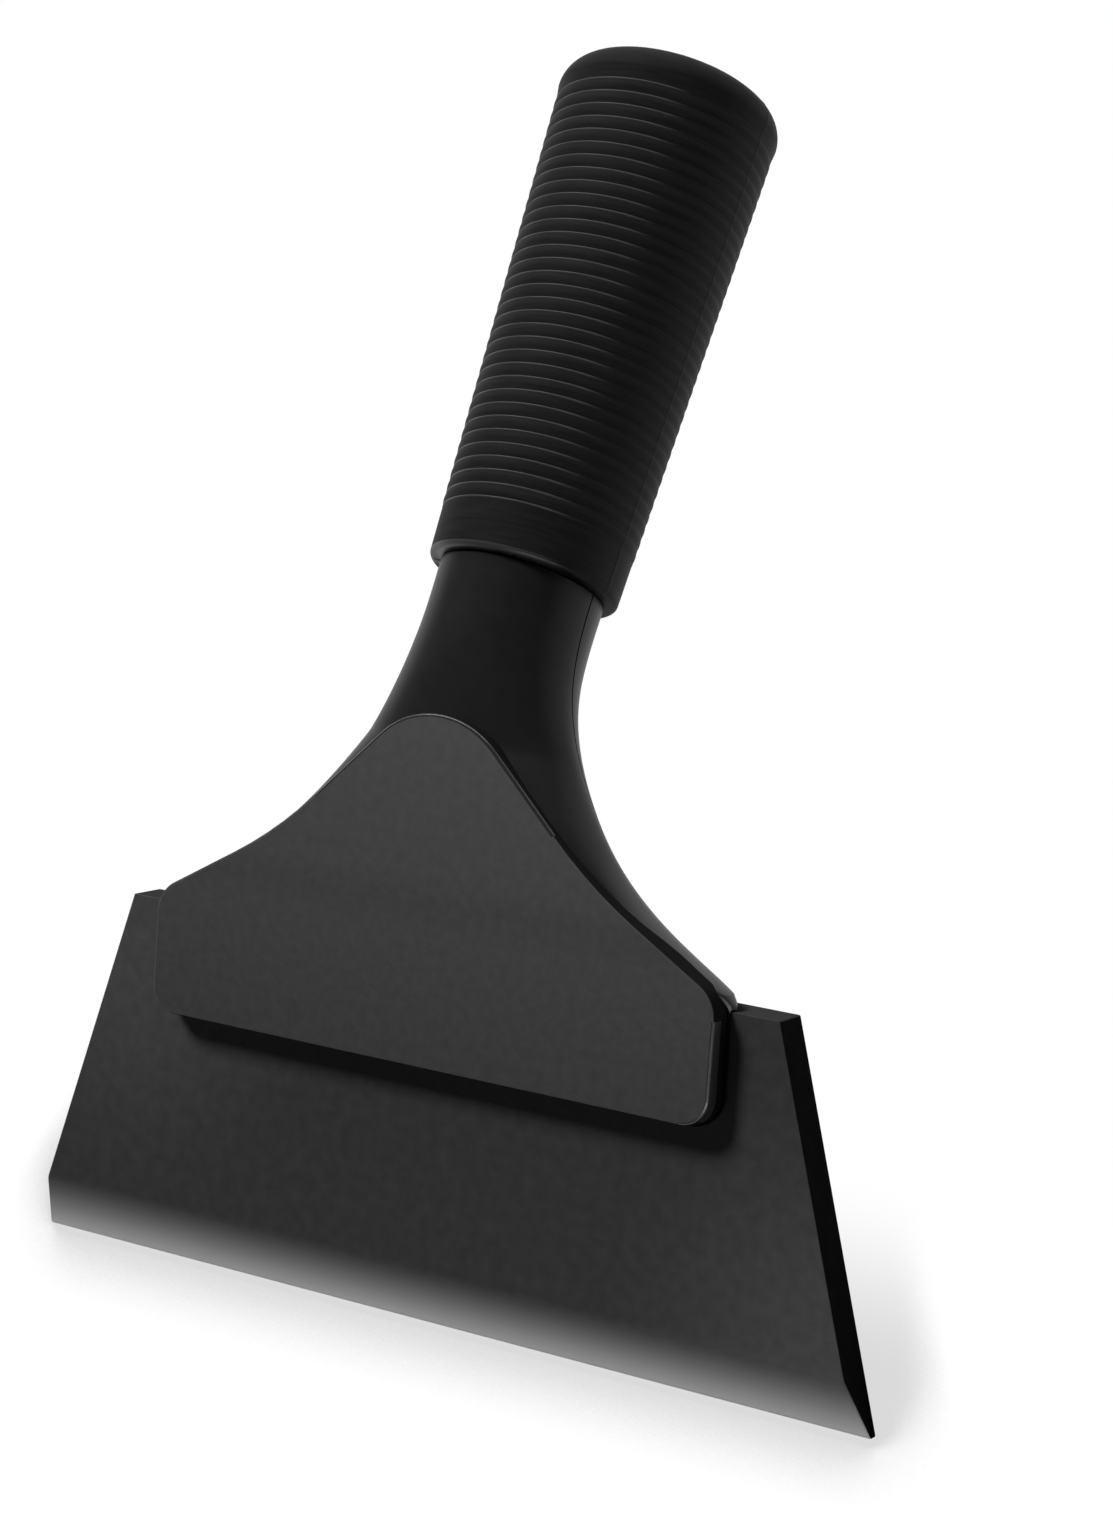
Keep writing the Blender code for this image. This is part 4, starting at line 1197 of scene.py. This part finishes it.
def add_floor():
    """A white paper floor. The camera and mirrors see it part glowing, so shadows stay pale."""

    def build(shape):
        bmesh.ops.create_grid(shape, x_segments=1, y_segments=1, size=FLOOR_REACH)

    floor = bpy.data.objects.new("floor", mesh_from("floor", build))
    bpy.context.scene.collection.objects.link(floor)
    made = bpy.data.materials.new("white_floor_paper")
    made.use_nodes = True
    tree = made.node_tree
    tree.nodes.clear()
    # Painted contact shade: the paper's colour runs towards black where ambient occlusion finds
    # the tool close by.
    contact = {"Distance": CONTACT_REACH}
    contact = add_node(tree, "ShaderNodeAmbientOcclusion", contact, samples=CONTACT_SAMPLES)
    darker = {0: contact.outputs["AO"], 1: CONTACT_POWER}
    darker = add_node(tree, "ShaderNodeMath", darker, operation="POWER").outputs[0]
    shade = {"Factor": darker, FIRST: colour("#000000"), SECOND: colour("#f0f0f0")}
    shade = add_node(tree, "ShaderNodeMix", shade, data_type="RGBA").outputs[MIXED]
    paper = add_node(tree, "ShaderNodeBsdfDiffuse", {"Color": shade})
    glow = add_node(tree, "ShaderNodeEmission", {"Strength": 1.0})
    place = add_node(tree, "ShaderNodeTexCoord").outputs["Object"]
    back = add_node(tree, "ShaderNodeSeparateXYZ", {"Vector": place}).outputs["Y"]
    share = {"Value": back, "From Min": GLOW_RISE_START, "From Max": GLOW_RISE_END}
    share.update({"To Min": GLOW_BY_BLADE, "To Max": GLOW_BY_GRIP})
    share = add_node(tree, "ShaderNodeMapRange", share, interpolation_type="SMOOTHSTEP")
    path = add_node(tree, "ShaderNodeLightPath")
    seen = path.outputs["Is Camera Ray"]
    for other in ("Is Glossy Ray", "Is Transmission Ray"):
        both = {0: seen, 1: path.outputs[other]}
        seen = add_node(tree, "ShaderNodeMath", both, operation="ADD").outputs[0]
    glowing = {0: seen, 1: share.outputs["Result"]}
    glowing = add_node(tree, "ShaderNodeMath", glowing, operation="MULTIPLY").outputs[0]
    mixed = {0: glowing, 1: paper.outputs[0], 2: glow.outputs[0]}
    mixed = add_node(tree, "ShaderNodeMixShader", mixed)
    add_node(tree, "ShaderNodeOutputMaterial", {"Surface": mixed.outputs[0]})
    floor.data.materials.append(made)


def add_key_lamp():
    """The soft main lamp, far away, which leaves no highlight of its own."""
    lamp = bpy.data.lights.new("key", "SUN")
    lamp.energy = KEY_STRENGTH
    lamp.angle = KEY_SPREAD
    made = bpy.data.objects.new("key", lamp)
    made.rotation_euler = Vector(KEY_WAY).to_track_quat("Z", "Y").to_euler()
    bpy.context.scene.collection.objects.link(made)
    made.visible_glossy = False


def add_softbox(name, way, size, power):
    """A panel that faces the tool and shows only as a highlight on its glossy edges."""
    lamp = bpy.data.lights.new(name, "AREA")
    lamp.shape = "RECTANGLE"
    lamp.size, lamp.size_y = size
    lamp.energy = power
    made = bpy.data.objects.new(name, lamp)
    place = Vector(way).normalized()
    made.location = place * SOFTBOX_DISTANCE
    made.rotation_euler = place.to_track_quat("Z", "Y").to_euler()
    made.visible_camera = False
    made.visible_diffuse = False
    bpy.context.scene.collection.objects.link(made)


def light_world():
    """Studio walls, palest low down on the front left, under a dim ceiling."""
    world = bpy.data.worlds.new("studio")
    world.use_nodes = True
    bpy.context.scene.world = world
    tree = world.node_tree
    tree.nodes.clear()
    way = add_node(tree, "ShaderNodeTexCoord").outputs["Generated"]
    height = add_node(tree, "ShaderNodeSeparateXYZ", {"Vector": way}).outputs["Z"]
    facing = {0: way, 1: PALE_WALL_WAY}
    facing = add_node(tree, "ShaderNodeVectorMath", facing, operation="DOT_PRODUCT")
    pale = {"Value": facing.outputs["Value"]}
    pale.update({"From Min": WALL_FACING_START, "From Max": WALL_FACING_END})
    pale = add_node(tree, "ShaderNodeMapRange", pale, interpolation_type="SMOOTHSTEP")
    wall = {"Factor": pale.outputs["Result"], FIRST: colour("#3c3c3c"), SECOND: colour("#d8d8d8")}
    wall = add_node(tree, "ShaderNodeMix", wall, data_type="RGBA").outputs[MIXED]
    rise = {"Value": height, "From Min": CEILING_START, "From Max": CEILING_END}
    rise = add_node(tree, "ShaderNodeMapRange", rise, interpolation_type="SMOOTHSTEP")
    shade = {"Factor": rise.outputs["Result"], FIRST: wall, SECOND: colour("#1b1b1b")}
    shade = add_node(tree, "ShaderNodeMix", shade, data_type="RGBA").outputs[MIXED]
    sky = add_node(tree, "ShaderNodeBackground", {"Color": shade, "Strength": 1.0})
    add_node(tree, "ShaderNodeOutputWorld", {"Surface": sky.outputs[0]})


def add_camera():
    """The camera, placed and turned as the photograph's was."""
    lens = bpy.data.cameras.new("camera")
    lens.sensor_width = SENSOR_LONG_SIDE
    lens.lens = CAMERA_LENS
    camera = bpy.data.objects.new("camera", lens)
    bpy.context.scene.collection.objects.link(camera)
    forward = CAMERA_FORWARD.normalized()
    right = forward.cross(CAMERA_UP).normalized()
    up = right.cross(forward)
    turn = Matrix((right, up, -forward)).transposed().to_4x4()
    camera.matrix_world = Matrix.Translation(CAMERA_PLACE) @ turn
    bpy.context.scene.camera = camera


LAID_DOWN = laid_down()

nylon = [satin_nylon(), textured_nylon(), shaded_wall_nylon(), rim_highlight_nylon()]
make_blade([cast_blade_rubber(), cut_rubber_lit_top_shaded_ends()])
make_front_shell(nylon)
make_back_shell(nylon)
make_sleeve([moulded_grip_rubber(), grip_rubber_painted_highlight()])
dress_fasteners()

add_floor()
light_world()
add_key_lamp()
for name, (way, size, power) in SOFTBOXES.items():
    add_softbox(name, way, size, power)
add_camera()
bpy.context.scene.view_settings.view_transform = "Standard"
